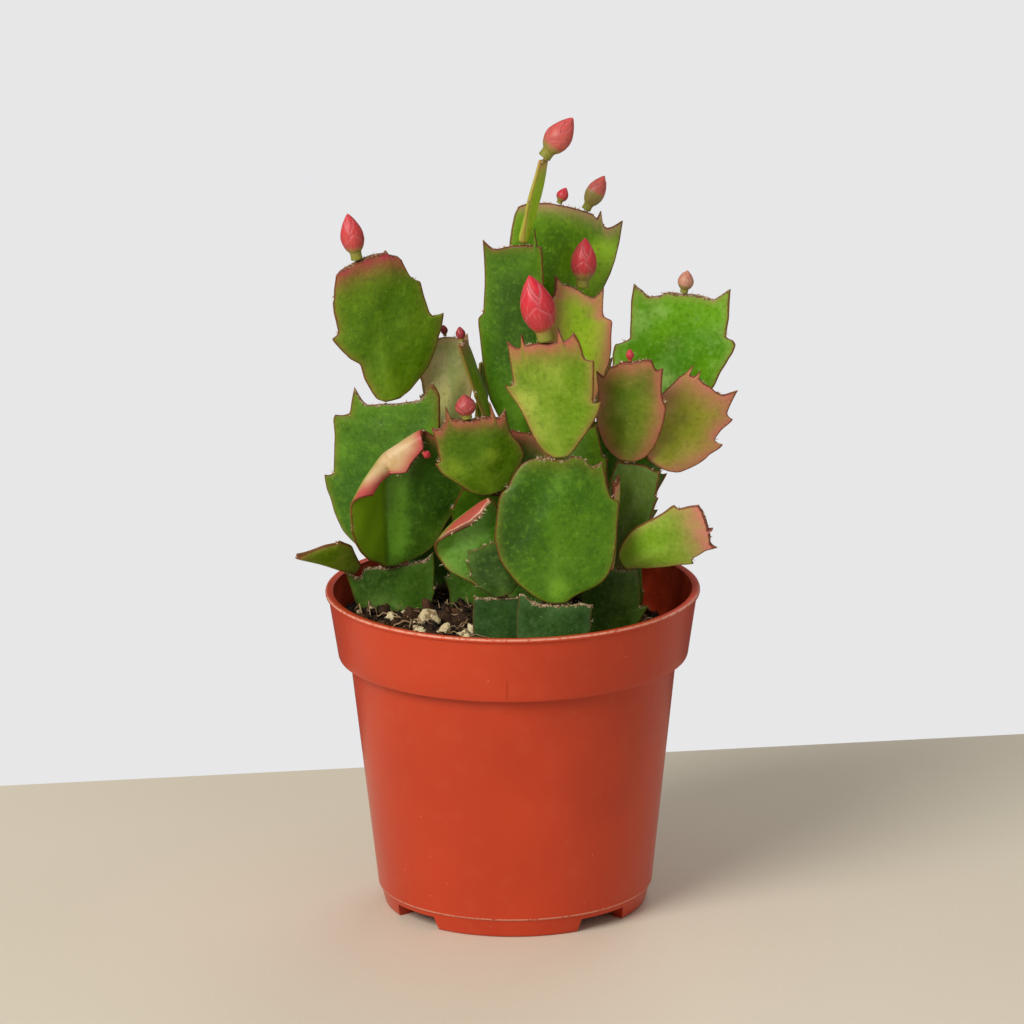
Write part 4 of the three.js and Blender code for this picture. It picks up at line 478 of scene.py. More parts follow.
# How brown a segment's margin is where it has no edge of its own
OLD_LOOKS = ("old", "shaded")
OLD_MARGIN, YOUNG_MARGIN = 0.4, 0.9
# Tepal colours; lip paints a highlight near each tepal's edge, and the dark colour under it paints shade
# along the edge itself
TEPAL = {
    "foot": (0.58, 0.040, 0.046), "point": (0.74, 0.022, 0.046), "pale": (0.68, 0.38, 0.24),
    "dark": (0.17, 0.022, 0.032), "light_streak": (0.84, 0.19, 0.21), "dark_streak": (0.40, 0.020, 0.028),
    "lip": (0.86, 0.18, 0.20), "shade_under_lip": (0.28, 0.014, 0.022),
    "neck_low": (0.24, 0.26, 0.03), "neck_high": (0.34, 0.25, 0.07),
}
PLASTIC = {
    "low": (0.480, 0.043, 0.012), "high": (0.545, 0.051, 0.015), "mottle": (0.62, 0.12, 0.06),
    "dot": (0.75, 0.3, 0.2), "wear_and_highlight": (0.80, 0.42, 0.30),
    "inside_low": (0.36, 0.028, 0.009), "inside_high": (0.50, 0.05, 0.016), "dust": (0.34, 0.20, 0.12),
}
PEAT = {
    "low": (0.010, 0.005, 0.002), "high": (0.042, 0.020, 0.008), "grain": (0.17, 0.090, 0.038),
    "dot": (0.55, 0.42, 0.24),
}
PERLITE_TONES = {
    "light": (0.92, 0.80, 0.50), "dark": (0.72, 0.58, 0.32), "stain": (0.20, 0.10, 0.04),
    "pit": (0.12, 0.075, 0.04),
}
BARK_TONES = {"low": (0.011, 0.005, 0.003), "high": (0.11, 0.048, 0.018), "grain": (0.24, 0.125, 0.055)}
FIBRE_TONES = {
    "mix_fibres": ((0.08, 0.038, 0.016), (0.50, 0.33, 0.17)),
    "areole_wool": ((0.34, 0.17, 0.08), (0.72, 0.56, 0.4)),
    "areole_bristles": ((0.45, 0.28, 0.14), (0.75, 0.62, 0.45)),
}
TABLE_TONES = {"low": (0.70, 0.63, 0.51), "high": (0.745, 0.67, 0.545), "grain": (0.66, 0.59, 0.475)}
SLOTS = {
    "fresh": "stem_green", "lime": "stem_young", "sunny": "stem_young", "tender": "stem_young",
    "bright": "stem_young", "vivid": "stem_young",
    "moss": "stem_olive", "olive": "stem_olive", "rosy": "stem_olive", "pale": "stem_pale",
}


# Meshes

def mesh_object(name, points, faces, material, fields=None):
    """A smooth mesh from points in mm. Fields are named values of its points."""
    mesh = bpy.data.meshes.new(name)
    mesh.from_pydata((np.asarray(points, float) * MM).tolist(), [], faces)
    mesh.shade_smooth()
    for key, values in (fields or {}).items():
        values = np.asarray(values, np.float32)
        kind, slot = ("FLOAT_VECTOR", "vector") if values.ndim == 2 else ("FLOAT", "value")
        layer = mesh.attributes.new(key, kind, "POINT")
        layer.data.foreach_set(slot, values.ravel())
    mesh.materials.append(material)
    made = bpy.data.objects.new(name, mesh)
    bpy.context.scene.collection.objects.link(made)
    return made


def apply_modifiers(made):
    """Replaces an object's mesh with the result of its modifiers."""
    graph = bpy.context.evaluated_depsgraph_get()
    mesh = bpy.data.meshes.new_from_object(made.evaluated_get(graph))
    made.modifiers.clear()
    made.data = mesh


class Heap:
    """Many small shapes gathered into one mesh."""

    def __init__(self):
        self.points = []
        self.faces = []
        self.fields = []
        self.count = 0

    def add(self, points, faces, field):
        self.points.append(points)
        self.faces.extend([tuple(k + self.count for k in face) for face in faces])
        self.fields.append(np.broadcast_to(field, len(points)))
        self.count += len(points)

    def made(self, name, material):
        return mesh_object(name, np.concatenate(self.points), self.faces, material,
                           {"shade": np.concatenate(self.fields)})


# A direction that no path follows
SLANT = (0.31, 0.52, 0.79)


def tube(path, radii, sides=5):
    """Points and faces of a closed tube along a path."""
    path = np.asarray(path, float)
    along = np.gradient(path, axis=0)
    along /= np.linalg.norm(along, axis=1)[:, None]
    aside = np.cross(along, SLANT)
    aside /= np.linalg.norm(aside, axis=1)[:, None]
    other = np.cross(along, aside)
    turns = np.linspace(0, 2 * math.pi, sides, endpoint=False)
    rings = [
        centre + radius * (np.cos(turns)[:, None] * a + np.sin(turns)[:, None] * b)
        for centre, radius, a, b in zip(path, radii, aside, other)
    ]
    faces = []
    for r in range(len(path) - 1):
        for k in range(sides):
            a, b = r * sides + k, r * sides + (k + 1) % sides
            faces.append((a, b, b + sides, a + sides))
    faces.append(tuple(range(sides))[::-1])
    faces.append(tuple(range((len(path) - 1) * sides, len(path) * sides)))
    return np.concatenate(rings), faces


def ball(detail):
    """Points and faces of a round ball of radius 1."""
    mesh = bmesh.new()
    bmesh.ops.create_icosphere(mesh, subdivisions=detail, radius=1)
    points = np.array([v.co for v in mesh.verts])
    faces = [tuple(v.index for v in f.verts) for f in mesh.faces]
    mesh.free()
    return points, faces


BALLS = {detail: ball(detail) for detail in (1, 2, 3)}


def lump(centre, size, squash, rough, seed, detail):
    """Points and faces of an uneven lump."""
    points, faces = BALLS[detail]
    draw = np.random.RandomState(seed)
    phase = draw.uniform(0, 6, 6)
    wave = (
        np.sin(3.1 * points[:, 0] + phase[0]) * np.cos(2.7 * points[:, 1] + phase[1])
        + 0.6 * np.sin(5.3 * points[:, 2] + phase[2]) * np.sin(4.9 * points[:, 0] + phase[3])
        + 0.35 * np.sin(9.1 * points[:, 1] + phase[4]) * np.cos(8.3 * points[:, 2] + phase[5])
    )
    shape = points * (1 + rough * wave)[:, None] * np.array(squash)
    turn = Matrix.Rotation(draw.uniform(0, 6.28), 3, Vector(draw.normal(size=3)).normalized())
    return shape @ np.array(turn) * size + np.array(centre), faces


# Stem segments

def bent(point, start, toward, over, by):
    """Moves points (across, along, out towards the front) of a flat segment as one part of it bends over."""
    x, y, z = point
    dx, dy = math.cos(math.radians(toward)), math.sin(math.radians(toward))
    distance = (x - start[0]) * dx + (y - start[1]) * dy
    full = math.radians(by)
    radius = over / full
    angle = full * np.clip(distance, 0, over) / over
    beyond = np.maximum(distance - over, 0)
    along = radius * np.sin(angle) + beyond * np.cos(angle) - z * np.sin(angle)
    lift = radius * (1 - np.cos(angle)) + beyond * np.sin(angle) + z * np.cos(angle)
    shift = np.where(distance > 0, along - distance, 0)
    return x + dx * shift, y + dy * shift, np.where(distance > 0, lift, z)


def on_curve(corners, t, soft):
    """The value at t of a curve given as (place, value) corners, which are rounded over a soft length."""
    places, values = zip(*corners)
    shifts = (-1, -0.5, 0, 0.5, 1)
    return sum(np.interp(t + shift * soft, places, values) for shift in shifts) / len(shifts)


EDGES = ((-1, "left_edge"), (1, "right_edge"))
# How far the corners of measured curves are rounded: along a side in mm, and across a tip as a share
SOFT = {"side": 0.6, "tip": 0.03}
# How far in from its outline, across and along, a segment's surface starts to follow its teeth and horns
FOLLOW = {"side": 0.7, "tip": 0.8}


class Segment:
    """One stem segment: its outline, its thickness, and where its points are in the plant."""

    def __init__(self, spec, parent):
        self.spec = spec
        self.outline = spec["outline"]
        grow = np.array(spec["grow"], float)
        self.length = np.linalg.norm(grow)
        self.axis = grow / self.length
        heading = math.radians(spec["face"])
        front = np.array([math.cos(heading), math.sin(heading), 0])
        front -= self.axis * front.dot(self.axis)
        self.front = front / np.linalg.norm(front)
        self.right = np.cross(self.axis, self.front)
        self.bends = list(spec.get("folds", []))
        if spec.get("cup"):
            self.bends += [((0, 0), toward, spec["wide"] / 2, spec["cup"] / 2) for toward in (0, 180)]
        if spec.get("bow"):
            self.bends += [((0, 0), 90, self.length, spec["bow"])]
        corners = [self.right * SEGMENT["neck_half_width"], self.front * SEGMENT["neck_thickness"] / 2]
        if parent:
            self.base = parent.foot_on(spec["at"], spec.get("out", 0), corners)
        else:
            self.base = np.array([*spec["root"], SOIL["level"] - ROOTED], float)

    def tip_height(self, u):
        """How high the tip's edge is above the foot."""
        if "tip_edge" in self.outline:
            return on_curve(self.outline["tip_edge"], u, SOFT["tip"])
        return self.length - self.outline["dome"] * u * u

    def half_width(self, v, side=1):
        """How far a side's edge is from the midline, without its teeth; side is below 0 for the left."""
        if "tip_edge" in self.outline:
            left, right = (
                on_curve(self.outline[edge], v * self.tip_height(end), SOFT["side"])
                for end, edge in EDGES)
            return np.where(np.asarray(side) < 0, left, right)
        belly, foot, top = (self.outline[key] for key in ("belly", "foot", "top"))
        widest = self.spec["wide"] / 2
        neck = SEGMENT["neck_half_width"]
        below = neck + (widest - neck) * np.sin(math.pi / 2 * np.minimum(v, belly) / belly) ** foot
        above = widest * (1 - (1 - top) * (np.maximum(v - belly, 0) / (1 - belly)) ** 2)
        return np.where(v < belly, below, above)

    def tooth(self, side, v):
        """How far a side's edge stands out, and up, at its teeth."""
        rise, fall = SEGMENT["tooth_rise"], SEGMENT["tooth_fall"]
        out, up = np.zeros_like(v), np.zeros_like(v)
        for place, size in self.outline["left" if side < 0 else "right"]:
            rising = np.clip((v - place + rise) / rise, 0, 1) ** 1.5
            falling = np.clip((v - place) / fall, 0, 1)
            share = np.where(v <= place, rising, 1 - falling)
            out += size * share
            up += 0.7 * size * share ** 2
        return out, up

    def crown(self, u):
        """How far the tip's edge stands out, and up, at its horns and thorns."""
        horn = np.where(u < 0, self.outline["horns"][0], self.outline["horns"][1])
        share = np.clip((np.abs(u) - 1 + SEGMENT["horn_width"]) / SEGMENT["horn_width"], 0, 1) ** 1.8
        up = horn * share
        for place, size in self.outline["crown"]:
            up = up + size * np.clip(1 - np.abs(u - place) / SEGMENT["spike_half_width"], 0, 1) ** 1.3
        return 0.25 * horn * share * np.sign(u), up

    def flat(self, u, v):
        """Points of the flat segment: u across from -1 to 1, v along from 0 to 1."""
        x = u * self.half_width(v, u)
        y = v * self.tip_height(u)
        near_side = np.clip((np.abs(u) - FOLLOW["side"]) / (1 - FOLLOW["side"]), 0, 1) ** 1.6
        near_tip = np.clip((v - FOLLOW["tip"]) / (1 - FOLLOW["tip"]), 0, 1) ** 1.6
        for side in (-1, 1):
            out, up = self.tooth(side, v)
            here = np.where(u * side > 0, near_side, 0)
            x = x + side * out * here
            y = y + up * here
        out, up = self.crown(u)
        return x + out * near_tip, y + up * near_tip

    def thickness(self, u, v):
        """A cushion that thins towards its sides and its tip, and is flatter at the neck."""
        middle = SEGMENT["mid_thickness"] + (SEGMENT["tip_thickness"] - SEGMENT["mid_thickness"]) * v
        edge = SEGMENT["edge_thickness"]
        body = edge + (middle - edge) * (1 - u * u) ** 0.7
        near_neck = np.clip(1 - v / 0.1, 0, 1)
        return body + (SEGMENT["neck_thickness"] * (1 - 0.3 * u * u) - body) * near_neck

    def place(self, x, y, z):
        """Points of the plant from points across, along and in front of the flat segment."""
        point = (np.asarray(x, float), np.asarray(y, float), np.asarray(z, float))
        for start, toward, over, by in self.bends:
            point = bent(point, start, toward, over, by)
        x, y, z = np.broadcast_arrays(*point)
        return self.base + x[..., None] * self.right + y[..., None] * self.axis + z[..., None] * self.front

    def foot_on(self, u, out, corners):
        """Where a child's foot goes: on the tip's edge, high enough for its lowest corner to clear it."""
        half_tip = self.half_width(1, u)
        reach = sum(abs(corner.dot(self.right)) for corner in corners) / half_tip
        x, y = u * half_tip, max(self.tip_height(u + shift) for shift in (-reach, 0, reach))
        edge = self.place(x, y, out)
        up = self.place(x, y + 1, out) - edge
        up /= np.linalg.norm(up)
        return edge + up * (SEGMENT["joint"] + sum(abs(corner.dot(up)) for corner in corners))

    def bud_foot_on(self, u, rim):
        """Where a bud's foot goes: as low on the tip's edge as its middle and its rim allow."""
        half_tip = self.half_width(1, u)
        x = u * half_tip
        edge = self.place(x, self.tip_height(u), 0)
        up = self.place(x, self.tip_height(u) + 1, 0) - edge
        up /= np.linalg.norm(up)
        heights = [
            self.tip_height(u + share * point.dot(self.right) / half_tip) - share * point.dot(up)
            for share in (0, 0.5, 1) for point in rim
        ]
        return self.place(x, max(heights) + SEGMENT["joint"], 0)


def marks(even, extra, least):
    """Grid places: the even ones and the extra ones, without any that lie closer together than the least."""
    kept = []
    fixed = {round(float(value), 5) for value in extra}
    for value in sorted(fixed | {round(float(value), 5) for value in even}):
        if kept and value - kept[-1] < least:
            if value not in fixed:
                continue
            kept.pop()
        kept.append(value)
    return np.array(kept)


# Steps of a segment's grid in mm, and the least step as a share of its length or half width
GRID = {"along": 0.9, "across": 1.1, "least": 0.002}


def grid_places(segment):
    """The places across and along a segment that carry its teeth, horns and thorns."""
    rise, fall = SEGMENT["tooth_rise"], SEGMENT["tooth_fall"]
    rows = [0, 0.015, 0.03, 0.95, 0.965, 0.98, 0.99, 1]
    for place, _ in (*segment.outline["left"], *segment.outline["right"]):
        rows += [place - rise * share for share in (0.9, 0.6, 0.35, 0.15, 0.05)]
        rows += [place + fall * share for share in (0, 0.3, 0.6, 1)]
    columns = [-1, -0.985, -0.965, -0.94, 0.94, 0.965, 0.985, 1]
    for end, edge in EDGES:
        rows += [height / segment.tip_height(end) for height, _ in segment.outline.get(edge, [])]
    columns += [place for place, _ in segment.outline.get("tip_edge", [])]
    for place, _ in segment.outline["crown"]:
        half = SEGMENT["spike_half_width"]
        columns += [place + half * share for share in (-1, -0.6, -0.3, -0.1, 0, 0.1, 0.3, 0.6, 1)]
    even_rows = np.linspace(0, 1, round(segment.length / GRID["along"]) + 1)
    even_columns = np.linspace(-1, 1, 2 * round(segment.spec["wide"] / 2 / GRID["across"]) + 1)
    v = marks(even_rows, [row for row in rows if 0 <= row <= 1], GRID["least"])
    u = marks(even_columns, columns, GRID["least"])
    return u, v


def skin_fields(segment, u, v, x, y, rib):
    """Where a segment's front is near its edges, blushed, folded over, painted as lit through on a folded
    wing, or painted lighter or darker by its patches.
    """
    spec = segment.spec
    to_side = (1 - np.abs(u)) * segment.half_width(v, u)
    to_tip = (1 - v) * segment.tip_height(u)
    blush = np.zeros_like(u)
    for distance, key in ((to_tip, "tip"), (to_side, "rim")):
        strength, reach = spec.get(key, (0, 1))
        blush = np.maximum(blush, strength * np.exp(-(distance / reach) ** 1.5))
    over_fold = np.zeros_like(u)
    if "folds" in spec:
        start, toward, over, _ = spec["folds"][0]
        heading = math.radians(toward)
        beyond = (x - start[0]) * math.cos(heading) + (y - start[1]) * math.sin(heading)
        over_fold = np.clip((beyond - 0.15 * over) / (0.35 * over), 0, 1)
    # The patches' painted light and painted shade, and a few blotches of the skin's own
    tone = np.zeros_like(u)
    for patch_x, patch_y, size, strength in spec.get("painted_light_and_blotches", []):
        tone += strength * np.exp(-((x - patch_x) ** 2 + (y - patch_y) ** 2) / size ** 2)
    return {
        "edge": np.minimum(to_side, to_tip), "to_tip": to_tip, "to_foot": y, "rib": rib, "blush": blush,
        "reverse": over_fold, "wing": np.clip((-1 - x) / 3, 0, 1) * (spec["look"] == "folded"), "tone": tone,
    }


def segment_object(index, segment, material):
    """A segment's visible mesh: its front and back grids, joined by a rounded rim."""
    spec = segment.spec
    across, along = grid_places(segment)
    u, v = np.meshgrid(across, along)
    x, y = segment.flat(u, v)
    inside = (1 - u ** 4) * np.clip(v / 0.25, 0, 1) * np.clip((1 - v) / 0.08, 0, 1)
    swell = RELIEF["swell"] * np.sin(0.23 * x + 1.7 * index) * np.cos(0.19 * y + 0.9 * index)
    swell += RELIEF["ripple"] * np.sin(0.47 * x - 0.31 * y + 2.3 * index)
    rib = np.exp(-(x / RELIEF["rib_width"]) ** 2) * np.clip(1 - v / 0.85, 0, 1) ** 1.3
    half = segment.thickness(u, v) / 2
    front = segment.place(x, y, half + inside * (swell + RELIEF["rib"] * rib))
    back = segment.place(x, y, -half + inside * (swell - RELIEF["rib_behind"] * rib))

    rows, columns = u.shape
    count = rows * columns
    number = np.arange(count).reshape(rows, columns)
    loop = np.concatenate([number[:-1, -1], number[-1, :0:-1], number[:0:-1, 0], number[0, :-1]])
    flat_x, flat_y = x.ravel()[loop], y.ravel()[loop]
    step_x = np.roll(flat_x, -1) - np.roll(flat_x, 1)
    step_y = np.roll(flat_y, -1) - np.roll(flat_y, 1)
    step = np.maximum(np.hypot(step_x, step_y), 1e-6)
    out = RELIEF["rim"]
    rim = segment.place(flat_x + out * step_y / step, flat_y - out * step_x / step, np.zeros(len(loop)))
    points = np.concatenate([front.reshape(-1, 3), back.reshape(-1, 3), rim])

    a, b = number[:-1, :-1].ravel(), number[:-1, 1:].ravel()
    c, d = number[1:, 1:].ravel(), number[1:, :-1].ravel()
    rim_number = 2 * count + np.arange(len(loop))
    after, rim_after = np.roll(loop, -1), np.roll(rim_number, -1)
    strips = [
        (a, b, c, d), (a + count, d + count, c + count, b + count),
        (loop, rim_number, rim_after, after), (rim_number, loop + count, after + count, rim_after),
    ]
    faces = [face for strip in strips for face in np.stack(strip, 1).tolist()]

    fields = {}
    for key, values in skin_fields(segment, u, v, x, y, rib).items():
        on_front = np.zeros_like(values) if key == "reverse" else values
        at_rim = np.full(len(loop), -0.1) if key == "edge" else values.ravel()[loop]
        fields[key] = np.concatenate([on_front.ravel(), values.ravel(), at_rim])
    plain_margin = OLD_MARGIN if spec["look"] in OLD_LOOKS else YOUNG_MARGIN
    fields["margin"] = np.full(len(points), spec.get("edge", plain_margin))
    fields["cork"] = np.full(len(points), float(spec.get("cork", 0)))
    return mesh_object("visual_" + spec["name"], points, faces, material, fields)


# Tufts of wool and bristles, in mm: how far apart they are along a tip and how far from their even places,
# how many of the places have one, the sizes of the wool and the lengths of the bristles, which fan out by a
# spread in radians and bow
TUFT = {
    "apart": 1.5, "shift": 0.4, "share": 0.75, "wool": (0.18, 0.36), "bristle": (0.6, 1.5),
    "spread": 0.55, "bow": 0.35,
}


def add_areoles(wool, bristles, draw, segment):
    """Tufts of wool and bristles in the notches of a segment and along its tip."""
    fall = SEGMENT["tooth_fall"]
    spots = []
    for side, key in ((-1, "left"), (1, "right")):
        for place, _ in segment.outline[key]:
            v = place + 1.2 * fall
            x, y = side * segment.half_width(v, side), v * segment.tip_height(side)
            spots.append((x, y, side * 0.7, 0.7, 5))
    half_tip = segment.half_width(1)
    for u in np.arange(-0.66, 0.67, TUFT["apart"] / half_tip):
        u += draw.uniform(-TUFT["shift"], TUFT["shift"]) / half_tip
        if draw.uniform() < TUFT["share"]:
            spots.append((u * segment.half_width(1, u), segment.tip_height(u), u, 1, 2))
    for x, y, lean_x, lean_y, hairs in spots:
        lean = math.hypot(lean_x, lean_y)
        for _ in range(draw.randint(1, 4)):
            size = draw.uniform(*TUFT["wool"])
            at = segment.place(x + draw.normal(0, 0.35), y + draw.uniform(0, 0.35), draw.normal(0, 0.25))
            wool.add(*lump(at, size, (1, 1, 0.8), 0.2, draw.randint(10 ** 6), 1), draw.uniform())
        for _ in range(hairs):
            spread = draw.normal(0, TUFT["spread"])
            dx = lean_x / lean * math.cos(spread) - lean_y / lean * math.sin(spread)
            dy = lean_x / lean * math.sin(spread) + lean_y / lean * math.cos(spread)
            reach = draw.uniform(*TUFT["bristle"])
            bow = draw.normal(0, TUFT["bow"])
            steps = np.linspace(0, 1, 4)
            path = segment.place(x + dx * reach * steps, y + dy * reach * steps, bow * steps ** 2)
            bristles.add(*tube(path, np.linspace(0.06, 0.02, 4), 4), draw.uniform())


# Flower buds

def bud_pose(spec, segment):
    """A bud's foot and its three directions, the last one along it."""
    axis = np.array(spec["grow"], float)
    axis /= np.linalg.norm(axis)
    side = np.array([0, -1, 0]) + axis * axis[1]
    side /= np.linalg.norm(side)
    other = np.cross(axis, side)
    turns = np.radians(np.arange(0, 360, 30))
    round_foot = np.outer(np.cos(turns), side) + np.outer(np.sin(turns), other)
    rim = BUD["neck_half_width"] * spec["wide"] * round_foot
    return segment.bud_foot_on(spec["at"], rim), side, other, axis


def bud_radius(t):
    """Half width of a bud's core, a smooth curve through its profile."""
    places, radii = zip(*BUD_PROFILE)
    fine = np.linspace(0, 1, 201)
    curve = np.interp(fine, places, radii)
    curve = np.convolve(np.pad(curve, 6, mode="edge"), np.ones(13) / 13, mode="valid")
    curve[-1] = 0
    return np.interp(t, fine, curve)


def bud_object(index, spec, segment, material):
    """A bud's visible mesh: a closed core with rings of tepals on it."""
    foot, side, other, axis = bud_pose(spec, segment)
    length = np.linalg.norm(spec["grow"])
    wide = spec["wide"]
    points, faces = [], []
    fields = {"rise": [], "lip": [], "strip": []}

    def add_grid(radius, turn, t, lip, closed):
        rows, columns = t.shape
        start = sum(len(p) for p in points)
        spot = (radius * np.cos(turn))[..., None] * side + (radius * np.sin(turn))[..., None] * other
        points.append((foot + spot + (t * length)[..., None] * axis).reshape(-1, 3))
        fields["rise"].append(t.ravel())
        fields["lip"].append(lip.ravel())
        strip = np.stack([turn * wide / 2, t * length, index + np.zeros_like(t)], -1)
        fields["strip"].append(strip.reshape(-1, 3))
        number = start + np.arange(rows * columns).reshape(rows, columns)
        after = np.roll(number, -1, axis=1)
        for r in range(rows - 1):
            for c in range(columns if closed else columns - 1):
                faces.append((number[r, c], after[r, c], after[r + 1, c], number[r + 1, c]))

    sectors, rows = BUD["sectors"], BUD["rows"]
    turn, t = np.meshgrid(np.linspace(0, 2 * math.pi, sectors, endpoint=False), np.linspace(0, 1, rows))
    add_grid(np.maximum(bud_radius(t) * wide, 0.02), turn, t, np.ones_like(t), True)
    faces.append(tuple(range(sectors))[::-1])
    faces.append(tuple(range((rows - 1) * sectors, rows * sectors)))

    across = np.array([-1.06, -1, -0.97, -0.85, -0.6, -0.3, 0, 0.3, 0.6, 0.85, 0.97, 1, 1.06])
    b, a = np.meshgrid(across, np.concatenate([[0], np.linspace(0.04, 0.96, 16), [0.99, 1]]))
    shape = (0.6 + 0.4 * np.sin(math.pi * np.minimum(a / 0.8, 1))) * (1 - a ** 3.4) ** 0.75
    rings = TEPALS if wide > BUD["full_from"] else TEPALS[1:]
    for ring, (number, start, end, width, stand) in enumerate(rings):
        over = np.where(np.abs(b) > 1.01, -0.02, stand * (0.6 + 0.4 * (1 - b * b)))
        over = np.where(a > 0.995, -0.02, over * np.clip(a / 0.12, 0, 1))
        t = start + (end - start) * a
        radius = wide * np.maximum(bud_radius(t) + over, 0.004)
        lip = np.clip((1 - np.abs(b)) * shape * 4, 0, 1)
        for k in range(number):
            middle = 2 * math.pi * (k + 0.37 * ring) / number + 0.9 * index
            add_grid(radius, middle + math.radians(width) * shape * b + 0.25 * a, t, lip, False)
    fields = {key: np.concatenate(values) for key, values in fields.items()}
    for key in ("green", "pale", "dark"):
        fields[key] = np.full(len(fields["rise"]), spec.get(key, 0))
    return mesh_object("visual_" + spec["name"], np.concatenate(points), faces, material, fields)


# The pot

def closed_faces(rings, sectors, outward=True):
    """Faces of a closed body that has a first point, rings and a last point."""
    last = 1 + rings * sectors
    faces = []
    for k in range(sectors):
        after = (k + 1) % sectors
        faces.append((0, 1 + after, 1 + k))
        faces.append((last, last - sectors + k, last - sectors + after))
        for r in range(rings - 1):
            a, b = 1 + r * sectors + k, 1 + r * sectors + after
            faces.append((a, b, b + sectors, a + sectors))
    return faces if outward else [(face[0], *face[:0:-1]) for face in faces]


def ring_mesh(profile, sectors):
    """Points and faces of a closed body turned round Z from a profile that starts and ends on the axis."""
    turns = np.linspace(0, 2 * math.pi, sectors, endpoint=False)
    points = [np.array([[0, 0, profile[0][1]]])]
    for radius, height in profile[1:-1]:
        ring = (radius * np.cos(turns), radius * np.sin(turns), np.full(sectors, height))
        points.append(np.stack(ring, 1))
    points.append(np.array([[0, 0, profile[-1][1]]]))
    return np.concatenate(points), closed_faces(len(profile) - 2, sectors)


def inner_radius(height):
    """The radius of the pot's inner wall at a height."""
    inside = POT["band_bottom"] + POT["wall"]
    if height > inside:
        share = (height - inside) / (POT["height"] - inside)
        low, high = POT["band_bottom_radius"] - POT["wall"], POT["rim_radius"] - POT["lip"]
    else:
        share = (height - POT["foot_top"]) / (POT["band_bottom"] - POT["foot_top"])
        low, high = POT["body_bottom_radius"] - POT["wall"], POT["body_top_radius"] - POT["wall"]
    return low + (high - low) * share


def between(low, high, shares):
    """Points on the line from low to high, both (radius, height), at shares of its length."""
    return [tuple(a + (b - a) * share for a, b in zip(low, high)) for share in shares]


def pot_profile():
    """Half the pot's section: under the floor, up the outside and down the inside, with rounded edges."""
    foot, step, band, rim, top = (
        POT[key] for key in ("foot_bottom_radius", "foot_top", "band_bottom", "rim_radius", "height"))
    foot_inside = foot - POT["foot_width"]
    body_low, body_high = POT["body_bottom_radius"], POT["body_top_radius"]
    band_low = POT["band_bottom_radius"]
    lip = top - POT["lip_height"]
    inside = band + POT["wall"]
    floor = POT["floor_top"]
    return [
        (0, POT["underside"]), (foot_inside, POT["underside"]),
        (foot_inside + 0.3, 0.3), (foot_inside + 0.6, 0),
        (foot - 0.9, 0), (foot - 0.45, 0.1), (foot - 0.13, 0.35), (foot, 0.8),
        *between((foot, 0.8), (POT["foot_top_radius"], step - 0.3), (0.3, 0.65, 1)),
        (body_low - 0.12, step - 0.2), (body_low + 0.02, step - 0.05), (body_low + 0.06, step + 0.12),
        *between((body_low, step), (body_high, band), np.linspace(0.01, 0.985, 14)),
        (body_high - 0.02, band - 0.35), (body_high + 0.12, band - 0.1), (body_high + 0.4, band),
        (band_low - 0.5, band), (band_low - 0.15, band + 0.12), (band_low, band + 0.45),
        *between((band_low, band + 0.45), (rim - 0.8, lip - 0.15), np.linspace(0.12, 1, 7)),
        (rim - 0.3, lip + 0.05), (rim - 0.06, lip + 0.2), (rim, lip + 0.45), (rim, top - 0.45),
        (rim - 0.12, top - 0.15), (rim - 0.4, top), (rim - 1.5, top), (rim - POT["lip"], top - 0.2),
        *[(inner_radius(height), height) for height in (88, 85, 82, 79, 76, inside + 0.5)],
        (inner_radius(band) + 0.3, inside), (inner_radius(band), inside - 0.5),
        *[(inner_radius(height), height) for height in (60, 45, 30, 15, floor + 1.5)],
        (inner_radius(floor) - 1.5, floor), (0, floor),
    ]


BOX_FACES = [(3, 2, 1, 0), (4, 5, 6, 7), (0, 1, 5, 4), (1, 2, 6, 5), (2, 3, 7, 6), (3, 0, 4, 7)]


def cutter(name, low, high, near, far, turn, material):
    """A wedge to cut with. Low and high are (height, half width); near and far are from the pot's axis."""
    points = []
    for height, half in (low, high):
        corners = ((-half, -far), (half, -far), (half, -near), (-half, -near))
        points += [(x, y, height) for x, y in corners]
    wedge = mesh_object(name, points, BOX_FACES, material)
    wedge.data.transform(Matrix.Rotation(math.radians(turn), 4, "Z"))
    return wedge


def pot_object(material):
    """The pot's visible mesh, with its notches and drain holes cut, and its inside marked."""
    pot = mesh_object("visual_pot", *ring_mesh(pot_profile(), POT_SECTORS), material)
    half = NOTCH["width"] / 2
    notch = ((-1, half + NOTCH["flare"]), (NOTCH["height"], half), *NOTCH["reach"])
    wide, deep = DRAIN["width"] / 2, DRAIN["depth"] / 2
    drain = ((-1, wide), (DRAIN["top"], wide), DRAIN["radius"] - deep, DRAIN["radius"] + deep)
    wedges = []
    for turn in NOTCH["angles"]:
        wedges.append(cutter(f"notch_{turn}", *notch, turn, material))
        wedges.append(cutter(f"drain_{turn}", *drain, turn, material))
    for wedge in wedges:
        cut = pot.modifiers.new(wedge.name, "BOOLEAN")
        cut.operation = "DIFFERENCE"
        cut.solver = "EXACT"
        cut.object = wedge
    apply_modifiers(pot)
    for wedge in wedges:
        bpy.data.objects.remove(wedge)
    pot.data.materials.clear()
    pot.data.materials.append(material)
    pot.data.shade_smooth()
    pot.data.set_sharp_from_angle(angle=math.radians(SHARP_FROM))
    inside = pot.data.attributes.new("inside", "FLOAT", "POINT")
    for vertex, value in zip(pot.data.vertices, inside.data):
        height = vertex.co.z / MM
        in_height = POT["floor_top"] - 0.1 < height < POT["height"] - 0.1
        near_wall = inner_radius(height) + 0.6 * POT["wall"]
        value.value = float(in_height and vertex.co.xy.length / MM < near_wall)
    return pot


# The potting mix

